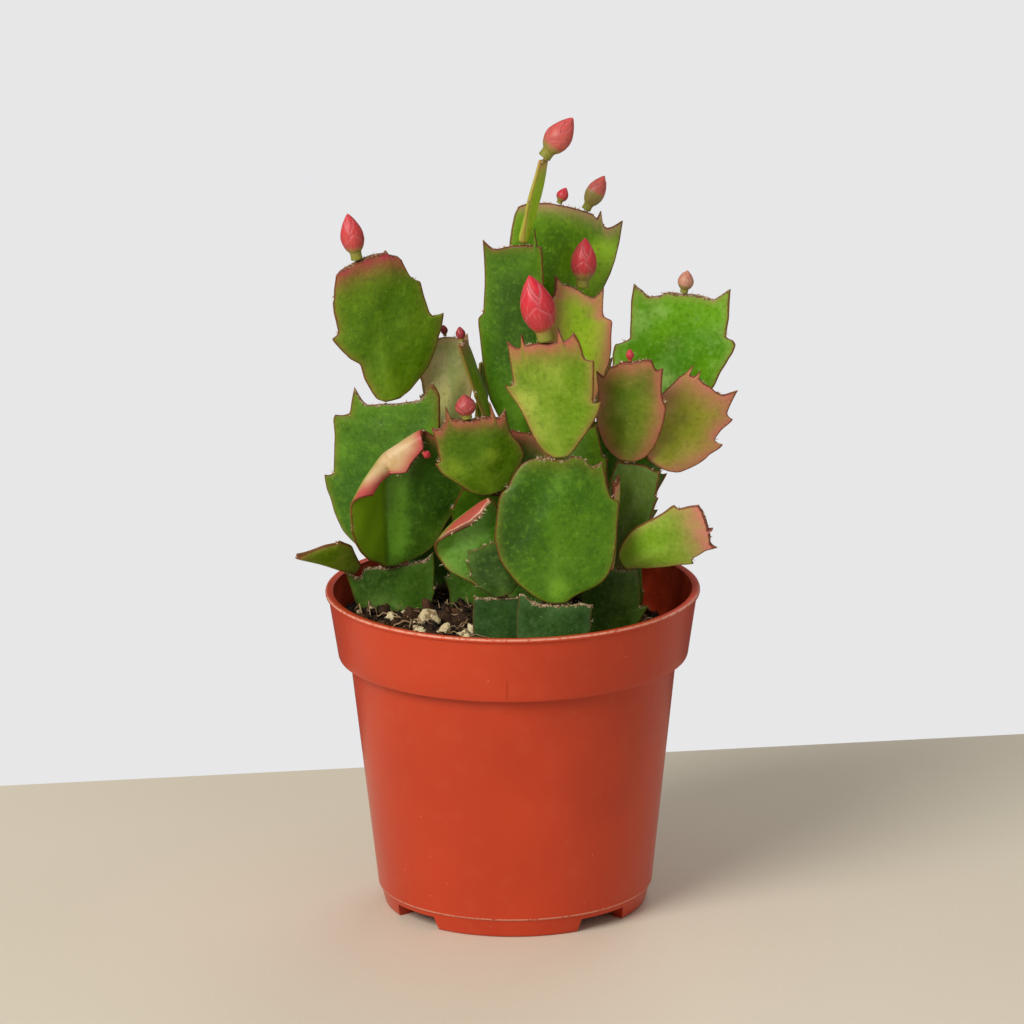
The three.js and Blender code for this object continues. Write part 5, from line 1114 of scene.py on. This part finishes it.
def soil_height(x, y):
    """The height of the mix, without its finest grain."""
    waves = np.sin(0.31 * x + 1.7) * np.cos(0.27 * y - 0.6) + 0.6 * np.sin(0.83 * x - 0.52 * y)
    crumbs = np.sin(1.9 * x + 0.4 * y) * np.sin(2.3 * y - 0.9 * x)
    fall = SOIL["fall"]
    share = np.clip((x - fall["from"]) / fall["over"], 0, 1)
    lower = fall["by"] * share * share * (3 - 2 * share)
    rough = SOIL["roughness"] * (1 - 0.7 * lower / fall["by"])
    return SOIL["level"] - lower + rough * (0.6 * waves + 0.7 * crumbs)


def soil_object(material):
    """The mix's visible mesh: a grainy top, and a plain body down to the pot's floor."""
    gap = SOIL["gap"]
    radius = inner_radius(SOIL["level"]) - gap
    rings, sectors = SOIL["rings"], SOIL["sectors"]
    angles = [2 * math.pi * k / sectors for k in range(sectors)]
    turns = [(math.cos(angle), math.sin(angle)) for angle in angles]
    points = [(0, 0, float(soil_height(0, 0)))]
    for r in range(1, rings + 1):
        ring = radius * (r / rings) ** 0.85
        for turn_x, turn_y in turns:
            x, y = ring * turn_x, ring * turn_y
            grain = noise.fractal(Vector((0.45 * x, 0.45 * y, 3)), 0.8, 2.1, 4)
            height = float(soil_height(x, y)) + SOIL["grain"] * grain
            inwards = (inner_radius(height) - gap) / radius
            points.append((x * inwards, y * inwards, height))
    band, floor = POT["band_bottom"], POT["floor_top"]
    step = band + POT["wall"]
    wall = [
        (inner_radius(step + 0.6) - gap, step + gap), (inner_radius(band) - gap, step + gap),
        (inner_radius(floor + 2) - gap, floor + 2), (inner_radius(floor) - 2, floor + gap),
    ]
    for ring, height in wall:
        points += [(ring * turn_x, ring * turn_y, height) for turn_x, turn_y in turns]
    points.append((0, 0, floor + gap))
    faces = closed_faces(rings + len(wall), sectors, outward=False)
    return mesh_object("visual_potting_mix", points, faces, material)


def clear_of_stems(x, y, margin):
    """Whether a spot on the mix is at least the margin away from every rooted segment."""
    for spec in SEGMENTS:
        if "root" in spec:
            heading = math.radians(spec["face"])
            dx, dy = x - spec["root"][0], y - spec["root"][1]
            out = dx * math.cos(heading) + dy * math.sin(heading)
            aside = -dx * math.sin(heading) + dy * math.cos(heading)
            if abs(out) < 2 + margin and abs(aside) < spec["wide"] / 2 + margin:
                return False
    return True


# Large grains of perlite and bark at the front left, as (x, y, size), in mm
PERLITE = [
    (-31, 4, 1.2), (-27.5, 7, 1.1), (-34.5, -1, 1.5), (-40, 5, 1.2), (-23.5, -6, 3.1), (-28.5, -6, 1.1),
    (-14, -20, 2.1), (-19, -17.5, 1.9), (-11.5, -14, 1.5), (-12.5, -24, 1.9), (-26, -14, 1.9),
    (-19, -3, 0.9),
]
BARK = [
    (-24, 1, 3.2), (-18, -7, 3.4), (-28, -1, 2.6), (-14, -10, 3.2), (-30, -9, 2.4), (-22.5, -12, 2.6),
    (-36, 3, 2.2),
]
# How many small ones there are, and the sizes of the grains in mm
GRAINS, CRUMBS, FIBRES = 150, 1500, 260
GRAIN_SIZE = (0.25, 1)
# How long and thick the fibres are and how high they arch, in mm, and the number of points along each
FIBRE = {"length": (2, 12), "radius": (0.08, 0.28), "arch": (0.3, 3), "steps": 9}


def scatter():
    """Grains of perlite, crumbs of peat, chips of bark and fibres on the mix, each with its slot."""
    draw = np.random.RandomState(7)
    reach = inner_radius(SOIL["level"] - SOIL["fall"]["by"]) - SOIL["gap"] - 1.5
    grains, crumbs, fibres = Heap(), Heap(), Heap()

    def spot(margin):
        while True:
            x, y = draw.uniform(-reach, reach, 2)
            if math.hypot(x, y) < reach - margin and clear_of_stems(x, y, margin):
                return x, y

    def drop(heap, x, y, lift, size, squash, rough, detail):
        centre = (x, y, soil_height(x, y) + lift * size)
        heap.add(*lump(centre, size, squash, rough, draw.randint(10 ** 6), detail), draw.uniform())

    for x, y, size in PERLITE:
        squash = draw.uniform(0.6, 1.1, 3)
        drop(grains, x, y, 0.5, size, squash, 0.24, 3)
    for _ in range(GRAINS):
        size = draw.uniform(*GRAIN_SIZE)
        x, y = spot(size)
        squash = draw.uniform(0.65, 1.15, 3)
        drop(grains, x, y, draw.uniform(0.1, 0.7), size, squash, 0.16, 2)
    for x, y, size in BARK:
        squash = (1, draw.uniform(0.5, 0.8), draw.uniform(0.4, 0.7))
        drop(crumbs, x, y, 0.5, size, squash, 0.22, 3)
    for _ in range(CRUMBS):
        size = draw.uniform(0.3, 1) ** 1.6 * 1.5
        x, y = spot(0.4 * size)
        squash = draw.uniform(0.5, 1.2, 3)
        drop(crumbs, x, y, draw.uniform(0, 0.8), size, squash, 0.2, 1 if size < 0.8 else 2)

    steps = np.linspace(0, 1, FIBRE["steps"])
    for _ in range(FIBRES):
        x, y = spot(0.5)
        heading, turn = draw.uniform(0, 6.28), draw.normal(0, 1.5)
        long = draw.uniform(*FIBRE["length"])
        angle = heading + turn * steps
        path_x = x + np.cumsum(np.cos(angle)) * long / FIBRE["steps"]
        path_y = y + np.cumsum(np.sin(angle)) * long / FIBRE["steps"]
        lift = draw.uniform(*FIBRE["arch"]) * np.sin(math.pi * steps) + 0.3
        if np.hypot(path_x, path_y).max() > reach:
            continue
        path = np.stack([path_x, path_y, soil_height(path_x, path_y) + lift], 1)
        radii = np.full(FIBRE["steps"], draw.uniform(*FIBRE["radius"]))
        fibres.add(*tube(path, radii), draw.uniform())
    return [
        (grains.made("perlite", perlite_material()), "potting_mix"),
        (crumbs.made("bark_and_crumbs", crumb_material()), "potting_mix"),
        (fibres.made("mix_fibres", fibre_material("mix_fibres")), "potting_mix"),
    ]


# Materials

class Nodes:
    """A material's nodes, made one at a time."""

    def __init__(self, name):
        self.material = bpy.data.materials.new(name)
        self.material.use_nodes = True
        self.tree = self.material.node_tree
        self.tree.nodes.clear()
        self.place = self.add("TexCoord").outputs["Object"]

    def add(self, kind, inputs=None, **settings):
        node = self.tree.nodes.new("ShaderNode" + kind)
        for key, value in settings.items():
            setattr(node, key, value)
        for key, value in (inputs or {}).items():
            self.put(node.inputs[key], value)
        return node

    def put(self, socket, value):
        if isinstance(value, bpy.types.NodeSocket):
            self.tree.links.new(value, socket)
        elif socket.type == "RGBA":
            socket.default_value = (*value, 1)
        else:
            socket.default_value = value

    def field(self, name):
        return self.add("Attribute", attribute_name=name).outputs["Fac"]

    def noise(self, scale, detail, place=None):
        inputs = {"Vector": place or self.place, "Scale": scale, "Detail": detail}
        return self.add("TexNoise", inputs).outputs["Fac"]

    def dots(self, scale, size, share):
        """Small round dots: one in a share of the cells of a random pattern."""
        cells = self.add("TexVoronoi", {"Vector": self.place, "Scale": scale})
        near = self.ramp(cells.outputs["Distance"], size, 0.6 * size)
        chosen = self.add("SeparateColor", {"Color": cells.outputs["Color"]}).outputs["Red"]
        return self.times(near, self.ramp(chosen, share, 0.8 * share))

    def math(self, operation, first, second=0.0):
        return self.add("Math", {0: first, 1: second}, operation=operation).outputs[0]

    def times(self, first, second):
        return self.math("MULTIPLY", first, second)

    def plus(self, first, second):
        return self.math("ADD", first, second)

    def ramp(self, value, low, high, to=1.0):
        inputs = {"Value": value, "From Min": low, "From Max": high, "To Max": to}
        return self.add("MapRange", inputs, interpolation_type="SMOOTHSTEP").outputs["Result"]

    def swing(self, value, by):
        """A noise value moved to lie evenly about 0, and stretched."""
        return self.times(self.plus(value, -0.5), by)

    def line(self, value, at, wide, narrow):
        """1 where a value is near the one given, falling off from narrow to wide."""
        return self.ramp(self.math("ABSOLUTE", self.plus(value, -at)), wide, narrow)

    def mix(self, share, first, second):
        node = self.add("Mix", data_type="RGBA")
        for socket, value in ((node.inputs[0], share), (node.inputs[6], first), (node.inputs[7], second)):
            self.put(socket, value)
        return node.outputs[2]

    def bump(self, height, distance, strength, normal=None):
        inputs = {"Height": height, "Distance": distance, "Strength": strength}
        if normal:
            inputs["Normal"] = normal
        return self.add("Bump", inputs).outputs["Normal"]

    def finish(self, **inputs):
        shader = self.add("BsdfPrincipled", {key.replace("_", " "): value for key, value in inputs.items()})
        output = self.add("OutputMaterial")
        self.tree.links.new(shader.outputs["BSDF"], output.inputs["Surface"])
        return self.material


def darker(colour, share):
    return tuple(share * value for value in colour)


def segment_material(name, look):
    """Waxy skin with two tones of green, a midrib, a blush, a brown margin, a corky tip and pale specks, and
    painted light: patches of light and shade, a rim and a folded wing lit through, a highlight on the
    midrib.
    """
    n = Nodes(name)
    edge, blush, rib = n.field("edge"), n.field("blush"), n.field("rib")
    broad, mottle, fine = n.noise(48, 2), n.noise(260, 4), n.noise(1500, 2)
    tone = n.field("tone")
    colour = n.mix(n.ramp(broad, 0.36, 0.62), look["deep"], look["green"])
    # Painted light: tone above 0 turns the skin pale, on top of its own mottling; painted shade: below 0
    # turns it a darker deep
    colour = n.mix(n.ramp(n.plus(tone, n.swing(mottle, 0.5)), 0.0, 1.0), colour, look["pale"])
    colour = n.mix(n.ramp(tone, 0.0, -1.0, 0.8), colour, darker(look["deep"], 0.5))
    colour = n.mix(n.ramp(mottle, 0.5, 0.78, 0.24), colour, look["pale"])
    grain = n.noise(820, 4)
    colour = n.mix(n.ramp(grain, 0.52, 0.72, 0.26), colour, look["pale"])
    colour = n.mix(n.ramp(grain, 0.48, 0.3, 0.4), colour, darker(look["deep"], 0.55))
    if name == "folded":
        # Painted light: the folded segment's left wing is coloured as if lit through from behind
        colour = n.mix(n.times(n.field("wing"), 0.9), colour, SKIN["lit_wing"])
    if name == "pale":
        along = n.add("Mapping", {"Vector": n.place, "Scale": (1.0, 1.0, 0.06)}).outputs["Vector"]
        colour = n.mix(n.ramp(n.noise(500, 2, along), 0.48, 0.62, 0.6), colour, look["deep"])
    # Painted light: the skin turns paler within 3 mm of its edges, as if lit through where it is thin
    colour = n.mix(n.times(n.ramp(edge, 3, 0.4), 0.18), colour, look["pale"])
    # The midrib is paler, partly its own colour and partly a painted highlight along its ridge
    colour = n.mix(n.times(rib, 0.4), colour, look["pale"])
    uneven = n.plus(n.times(mottle, 1.2), 0.4)
    colour = n.mix(n.math("MINIMUM", n.times(blush, uneven), 1.0), colour, look["blush"])
    if name == "fresh":
        reverse = n.mix(n.ramp(edge, 4.2, 3.4), look["green"], SKIN["curl"])
        reverse = n.mix(n.ramp(edge, 0.9, 0.4, 0.8), reverse, SKIN["curl_line"])
    else:
        reverse = n.mix(n.ramp(mottle, 0.3, 0.7), SKIN["fold_low"], SKIN["fold_high"])
        reverse = n.mix(n.ramp(n.plus(edge, n.swing(broad, 8)), 5.5, 0.5), reverse, look["blush"])
    colour = n.mix(n.field("reverse"), colour, reverse)
    specks = n.math("MAXIMUM", n.times(n.dots(1250, 0.2, 0.22), 0.35), n.times(n.dots(520, 0.1, 0.1), 0.55))
    colour = n.mix(specks, colour, SKIN["speck"])
    ragged = n.plus(edge, n.swing(fine, 0.6))
    margin = n.times(n.ramp(ragged, 0.42, 0.14), n.times(n.field("margin"), 0.9))
    colour = n.mix(margin, colour, SKIN["margin"])
    cork_edge = n.plus(n.field("to_tip"), n.swing(n.noise(600, 3), 3.4))
    cork = n.times(n.ramp(cork_edge, 0.6, 0.1), n.field("cork"))
    colour = n.mix(cork, colour, n.mix(n.ramp(fine, 0.4, 0.62), SKIN["cork_low"], SKIN["cork_high"]))
    colour = n.mix(n.times(n.ramp(n.field("to_foot"), 0.7, 0.25), 0.7), colour, SKIN["scar"])
    normal = n.bump(n.plus(mottle, n.times(grain, 0.35)), 0.0005, 0.5)
    normal = n.bump(n.ramp(n.noise(3200, 2), 0.3, 0.7), 0.00006, 0.5, normal)
    return n.finish(
        Base_Color=colour, Roughness=n.plus(n.times(mottle, 0.22), 0.3), Normal=normal,
        Specular_IOR_Level=0.16,
        Subsurface_Weight=0.16, Subsurface_Radius=(0.7, 1.0, 0.15), Subsurface_Scale=0.0022,
        Coat_Weight=0.3 if name == "fresh" else 0.14, Coat_Roughness=0.22,
    )


def bud_material():
    """Waxy rose tepals with fine streaks, paler at the foot, on a green neck, with a painted highlight near
    each tepal's edge and painted shade along the edge itself.
    """
    n = Nodes("bud")
    rise, lip = n.field("rise"), n.field("lip")
    strip = n.add("Attribute", attribute_name="strip").outputs["Vector"]
    stretched = n.add("Mapping", {"Vector": strip, "Scale": (1.0, 0.16, 1.0)}).outputs["Vector"]
    streaks = n.noise(2.6, 3, stretched)
    fine = n.noise(1400, 2)
    tone = n.mix(n.ramp(rise, 0.2, 0.95), TEPAL["foot"], TEPAL["point"])
    tone = n.mix(n.ramp(streaks, 0.5, 0.72, 0.3), tone, TEPAL["light_streak"])
    tone = n.mix(n.ramp(streaks, 0.46, 0.3, 0.35), tone, TEPAL["dark_streak"])
    tone = n.mix(n.times(n.field("pale"), 0.85), tone, TEPAL["pale"])
    tone = n.mix(n.times(n.field("dark"), 0.8), tone, TEPAL["dark"])
    # Painted highlight near each tepal's edge, then painted shade along the edge itself, where it meets the
    # surface beneath
    tone = n.mix(n.ramp(lip, 0.95, 0.3, 0.5), tone, TEPAL["lip"])
    tone = n.mix(n.ramp(lip, 0.3, 0.02, 0.6), tone, TEPAL["shade_under_lip"])
    green_to = n.plus(n.field("green"), n.swing(streaks, 0.16))
    above = n.math("SUBTRACT", rise, green_to)
    neck = n.mix(n.ramp(rise, 0.0, 0.3), TEPAL["neck_low"], TEPAL["neck_high"])
    return n.finish(
        Base_Color=n.mix(n.ramp(above, -0.04, 0.12), neck, tone), Roughness=n.plus(n.times(fine, 0.15), 0.3),
        Normal=n.bump(n.plus(streaks, n.times(fine, 0.2)), 0.0003, 0.4), Specular_IOR_Level=0.3,
        Subsurface_Weight=0.25, Subsurface_Radius=(1.0, 0.35, 0.3), Subsurface_Scale=0.0018,
        Coat_Weight=0.1, Coat_Roughness=0.25,
    )


# Heights of the worn line at the foot and of the light line at the rim, partly wear and partly painted
# highlight, and the seam's place across, in metres
LINES_AND_SEAM = {"foot": 0.00555, "rim": 0.0907, "seam": -0.0016}


def pot_material():
    """Satin moulded plastic with a light worn line at the foot, a light line at the rim that is partly wear
    and partly a painted highlight, a faint seam, and dust inside.
    """
    n = Nodes("pot_plastic")
    parts = n.add("SeparateXYZ", {"Vector": n.place})
    x, y, z = (parts.outputs[k] for k in range(3))
    level = n.add("CombineXYZ", {"X": x, "Y": y}).outputs[0]
    radius = n.add("VectorMath", {0: level}, operation="LENGTH").outputs["Value"]
    broad, mottle, fine = n.noise(22, 2), n.noise(180, 4), n.noise(1800, 2)
    colour = n.mix(n.ramp(broad, 0.35, 0.65), PLASTIC["low"], PLASTIC["high"])
    colour = n.mix(n.ramp(mottle, 0.5, 0.8, 0.12), colour, PLASTIC["mottle"])
    colour = n.mix(n.times(n.dots(420, 0.1, 0.12), 0.5), colour, PLASTIC["dot"])
    # A light worn line at the foot's step, and a light line along the rim's rounded top edge, partly wear
    # and partly a painted highlight, both broken up by noise
    broken_up = n.ramp(n.noise(900, 4), 0.3, 0.5)
    foot_line = n.times(n.line(z, LINES_AND_SEAM["foot"], 0.00045, 0.00015), n.ramp(radius, 0.037, 0.0375))
    rim_line = n.times(n.line(z, LINES_AND_SEAM["rim"], 0.00038, 0.0001), n.ramp(radius, 0.0517, 0.0521))
    wear_and_highlight = n.times(n.math("MAXIMUM", foot_line, rim_line), broken_up)
    colour = n.mix(n.times(wear_and_highlight, 0.75), colour, PLASTIC["wear_and_highlight"])
    on_band = n.times(n.ramp(z, 0.0795, 0.0765), n.ramp(z, 0.0722, 0.0732))
    seam = n.times(n.times(n.line(x, LINES_AND_SEAM["seam"], 0.0003, 0.0001), on_band), n.ramp(y, 0.0, -0.01))
    wall = n.mix(n.ramp(mottle, 0.4, 0.7), PLASTIC["inside_low"], PLASTIC["inside_high"])
    wall = n.mix(n.times(n.dots(800, 0.2, 0.25), n.ramp(z, 0.088, 0.083)), wall, PLASTIC["dust"])
    normal = n.bump(n.plus(n.times(mottle, 0.5), n.times(fine, 0.25)), 0.00025, 0.35)
    normal = n.bump(n.times(seam, -1.0), 0.0003, 0.8, normal)
    return n.finish(
        Base_Color=n.mix(n.field("inside"), colour, wall), Roughness=n.plus(n.times(mottle, 0.14), 0.24),
        Normal=normal, Specular_IOR_Level=0.28,
        Subsurface_Weight=0.06, Subsurface_Radius=(1.0, 0.3, 0.15), Subsurface_Scale=0.001,
    )


def soil_material():
    """Dark moist peat with lighter fibres and grains."""
    n = Nodes("potting_mix")
    coarse, grain, fine = n.noise(240, 5), n.noise(900, 4), n.noise(3000, 2)
    colour = n.mix(n.ramp(coarse, 0.38, 0.62), PEAT["low"], PEAT["high"])
    colour = n.mix(n.ramp(grain, 0.6, 0.76, 0.7), colour, PEAT["grain"])
    colour = n.mix(n.times(n.dots(1100, 0.2, 0.08), 0.8), colour, PEAT["dot"])
    normal = n.bump(n.plus(grain, n.times(fine, 0.4)), 0.0008, 0.9)
    return n.finish(Base_Color=colour, Roughness=0.85, Normal=normal, Specular_IOR_Level=0.3)


def perlite_material():
    """Porous cream-white grains, stained by the peat."""
    n = Nodes("perlite")
    colour = n.mix(n.field("shade"), PERLITE_TONES["light"], PERLITE_TONES["dark"])
    colour = n.mix(n.ramp(n.noise(500, 4), 0.5, 0.6, 0.8), colour, PERLITE_TONES["stain"])
    pits = n.noise(2600, 3)
    colour = n.mix(n.ramp(pits, 0.42, 0.3, 0.6), colour, PERLITE_TONES["pit"])
    return n.finish(
        Base_Color=colour, Roughness=0.75, Normal=n.bump(pits, 0.0006, 0.8),
        Subsurface_Weight=0.1, Subsurface_Radius=(1.0, 0.8, 0.5), Subsurface_Scale=0.0005,
    )


def crumb_material():
    """Peat crumbs and chips of bark, from nearly black to reddish brown."""
    n = Nodes("bark_and_crumbs")
    grain = n.noise(1300, 4)
    colour = n.mix(n.math("POWER", n.field("shade"), 2.0), BARK_TONES["low"], BARK_TONES["high"])
    colour = n.mix(n.ramp(grain, 0.54, 0.72, 0.55), colour, BARK_TONES["grain"])
    normal = n.bump(grain, 0.0007, 0.9)
    return n.finish(Base_Color=colour, Roughness=0.8, Normal=normal, Specular_IOR_Level=0.3)


def fibre_material(name):
    """Dry plant fibre with streaks."""
    dark, light = FIBRE_TONES[name]
    n = Nodes(name)
    streak = n.noise(1600, 3)
    colour = n.mix(n.field("shade"), dark, light)
    colour = n.mix(n.ramp(streak, 0.45, 0.7, 0.5), colour, light)
    return n.finish(Base_Color=colour, Roughness=0.65, Normal=n.bump(streak, 0.0002, 0.5))


def table_material():
    """Smooth matt beige table."""
    n = Nodes("table")
    colour = n.mix(n.ramp(n.noise(3, 3), 0.35, 0.65), TABLE_TONES["low"], TABLE_TONES["high"])
    colour = n.mix(n.ramp(n.noise(900, 3), 0.4, 0.7, 0.25), colour, TABLE_TONES["grain"])
    return n.finish(Base_Color=colour, Roughness=0.6, Normal=n.bump(n.noise(1200, 2), 0.0001, 0.3))


# Studio

TABLE = {"edge": 0.1277, "turn": 7.95, "size": 3.2, "thickness": 0.02}
WALL = (0.80, 0.80, 0.81)
AMBIENT = (1.0, 0.98, 0.93)
AMBIENT_STRENGTH = 0.38
MIRRORED_STRENGTH = 0.1
# Soft round lights: place, size, power and colour, all aimed at the plant
LIGHTS = [
    ("key", (-1.05, -1.25, 1.25), 1.1, 33, (1.0, 0.97, 0.91)),
    ("fill", (1.5, -1.3, 0.7), 1.4, 2, (0.97, 0.98, 1.0)),
    ("back", (0.5, 1.3, 1.3), 1.0, 5, (1.0, 1.0, 1.0)),
]
AIM = (0, 0, 0.1)


def make_camera():
    """The photograph's camera: in front of the pot, a little above it, pitched down and slightly rolled."""
    pitch, roll = math.radians(CAMERA["pitch"]), math.radians(CAMERA["roll"])
    forward = Vector((0, math.cos(pitch), -math.sin(pitch)))
    level_right, level_up = Vector((1, 0, 0)), Vector((0, math.sin(pitch), math.cos(pitch)))
    right = level_right * math.cos(roll) + level_up * math.sin(roll)
    up = level_up * math.cos(roll) - level_right * math.sin(roll)
    data = bpy.data.cameras.new("camera")
    data.sensor_width = SENSOR
    data.lens = SENSOR * CAMERA["focal_pixels"] / IMAGE
    data.clip_start = 0.05
    camera = bpy.data.objects.new("camera", data)
    bpy.context.scene.collection.objects.link(camera)
    turned = Matrix((right, up, -forward)).transposed().to_4x4()
    camera.matrix_world = Matrix.Translation((0, -CAMERA["distance"], CAMERA["height"])) @ turned
    bpy.context.scene.camera = camera


def make_lights():
    for name, place, size, power, colour in LIGHTS:
        data = bpy.data.lights.new(name, "AREA")
        data.shape = "DISK"
        data.size = size
        data.energy = power
        data.color = colour
        light = bpy.data.objects.new(name, data)
        bpy.context.scene.collection.objects.link(light)
        light.location = place
        light.rotation_euler = (Vector(AIM) - light.location).to_track_quat("-Z", "Y").to_euler()


def make_world():
    """A plain pale backdrop for the camera, a soft light from all round, and a weaker one in reflections."""
    world = bpy.data.worlds.new("studio")
    bpy.context.scene.world = world
    world.use_nodes = True
    nodes, links = world.node_tree.nodes, world.node_tree.links
    nodes.clear()

    def background(colour, strength):
        node = nodes.new("ShaderNodeBackground")
        node.inputs["Color"].default_value = (*colour, 1)
        node.inputs["Strength"].default_value = strength
        return node.outputs[0]

    def choose(ray, otherwise, seen):
        node = nodes.new("ShaderNodeMixShader")
        for socket, output in zip(node.inputs, (ray, otherwise, seen)):
            links.new(output, socket)
        return node.outputs[0]

    rays = nodes.new("ShaderNodeLightPath").outputs
    ambient, mirrored = background(AMBIENT, AMBIENT_STRENGTH), background(AMBIENT, MIRRORED_STRENGTH)
    soft = choose(rays["Is Glossy Ray"], ambient, mirrored)
    shown = choose(rays["Is Camera Ray"], soft, background(WALL, 1))
    links.new(shown, nodes.new("ShaderNodeOutputWorld").inputs["Surface"])


def make_table():
    size, edge, thickness = (TABLE[key] / MM for key in ("size", "edge", "thickness"))
    half = size / 2
    corners = ((-half, edge - size), (half, edge - size), (half, edge), (-half, edge))
    points = [(x, y, z) for z in (-thickness, 0) for x, y in corners]
    table = mesh_object("table", points, BOX_FACES, table_material())
    table.data.transform(Matrix.Rotation(math.radians(TABLE["turn"]), 4, "Z"))
    table.data.shade_flat()


# Everything together
bpy.context.scene.view_settings.view_transform = "Standard"
make_camera()
make_lights()
make_world()
make_table()

pieces = [
    (pot_object(pot_material()), "pot", "pot_plastic"),
    (soil_object(soil_material()), "potting_mix", "potting_mix"),
]
extras = scatter()

draw = np.random.RandomState(3)
skins = {look: segment_material(look, dict(zip(LOOK_PARTS, colours))) for look, colours in LOOKS.items()}
wool, bristles = Heap(), Heap()
segments = {}
for index, spec in enumerate(SEGMENTS):
    segment = Segment(spec, segments.get(spec.get("on")))
    segments[spec["name"]] = segment
    piece = segment_object(index, segment, skins[spec["look"]])
    pieces.append((piece, "segment_" + spec["name"], SLOTS.get(spec["look"], "stem_green")))
    add_areoles(wool, bristles, draw, segment)
for heap, name in ((wool, "areole_wool"), (bristles, "areole_bristles")):
    extras.append((heap.made(name, fibre_material(name)), "stem_green"))

tepals = bud_material()
for index, spec in enumerate(BUDS):
    pieces.append((bud_object(index, spec, segments[spec["on"]], tepals), spec["name"], "bud"))

for piece, node, slot in pieces:
    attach(piece, "root")
    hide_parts(node)
for piece, slot in extras:
    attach(piece, "root")
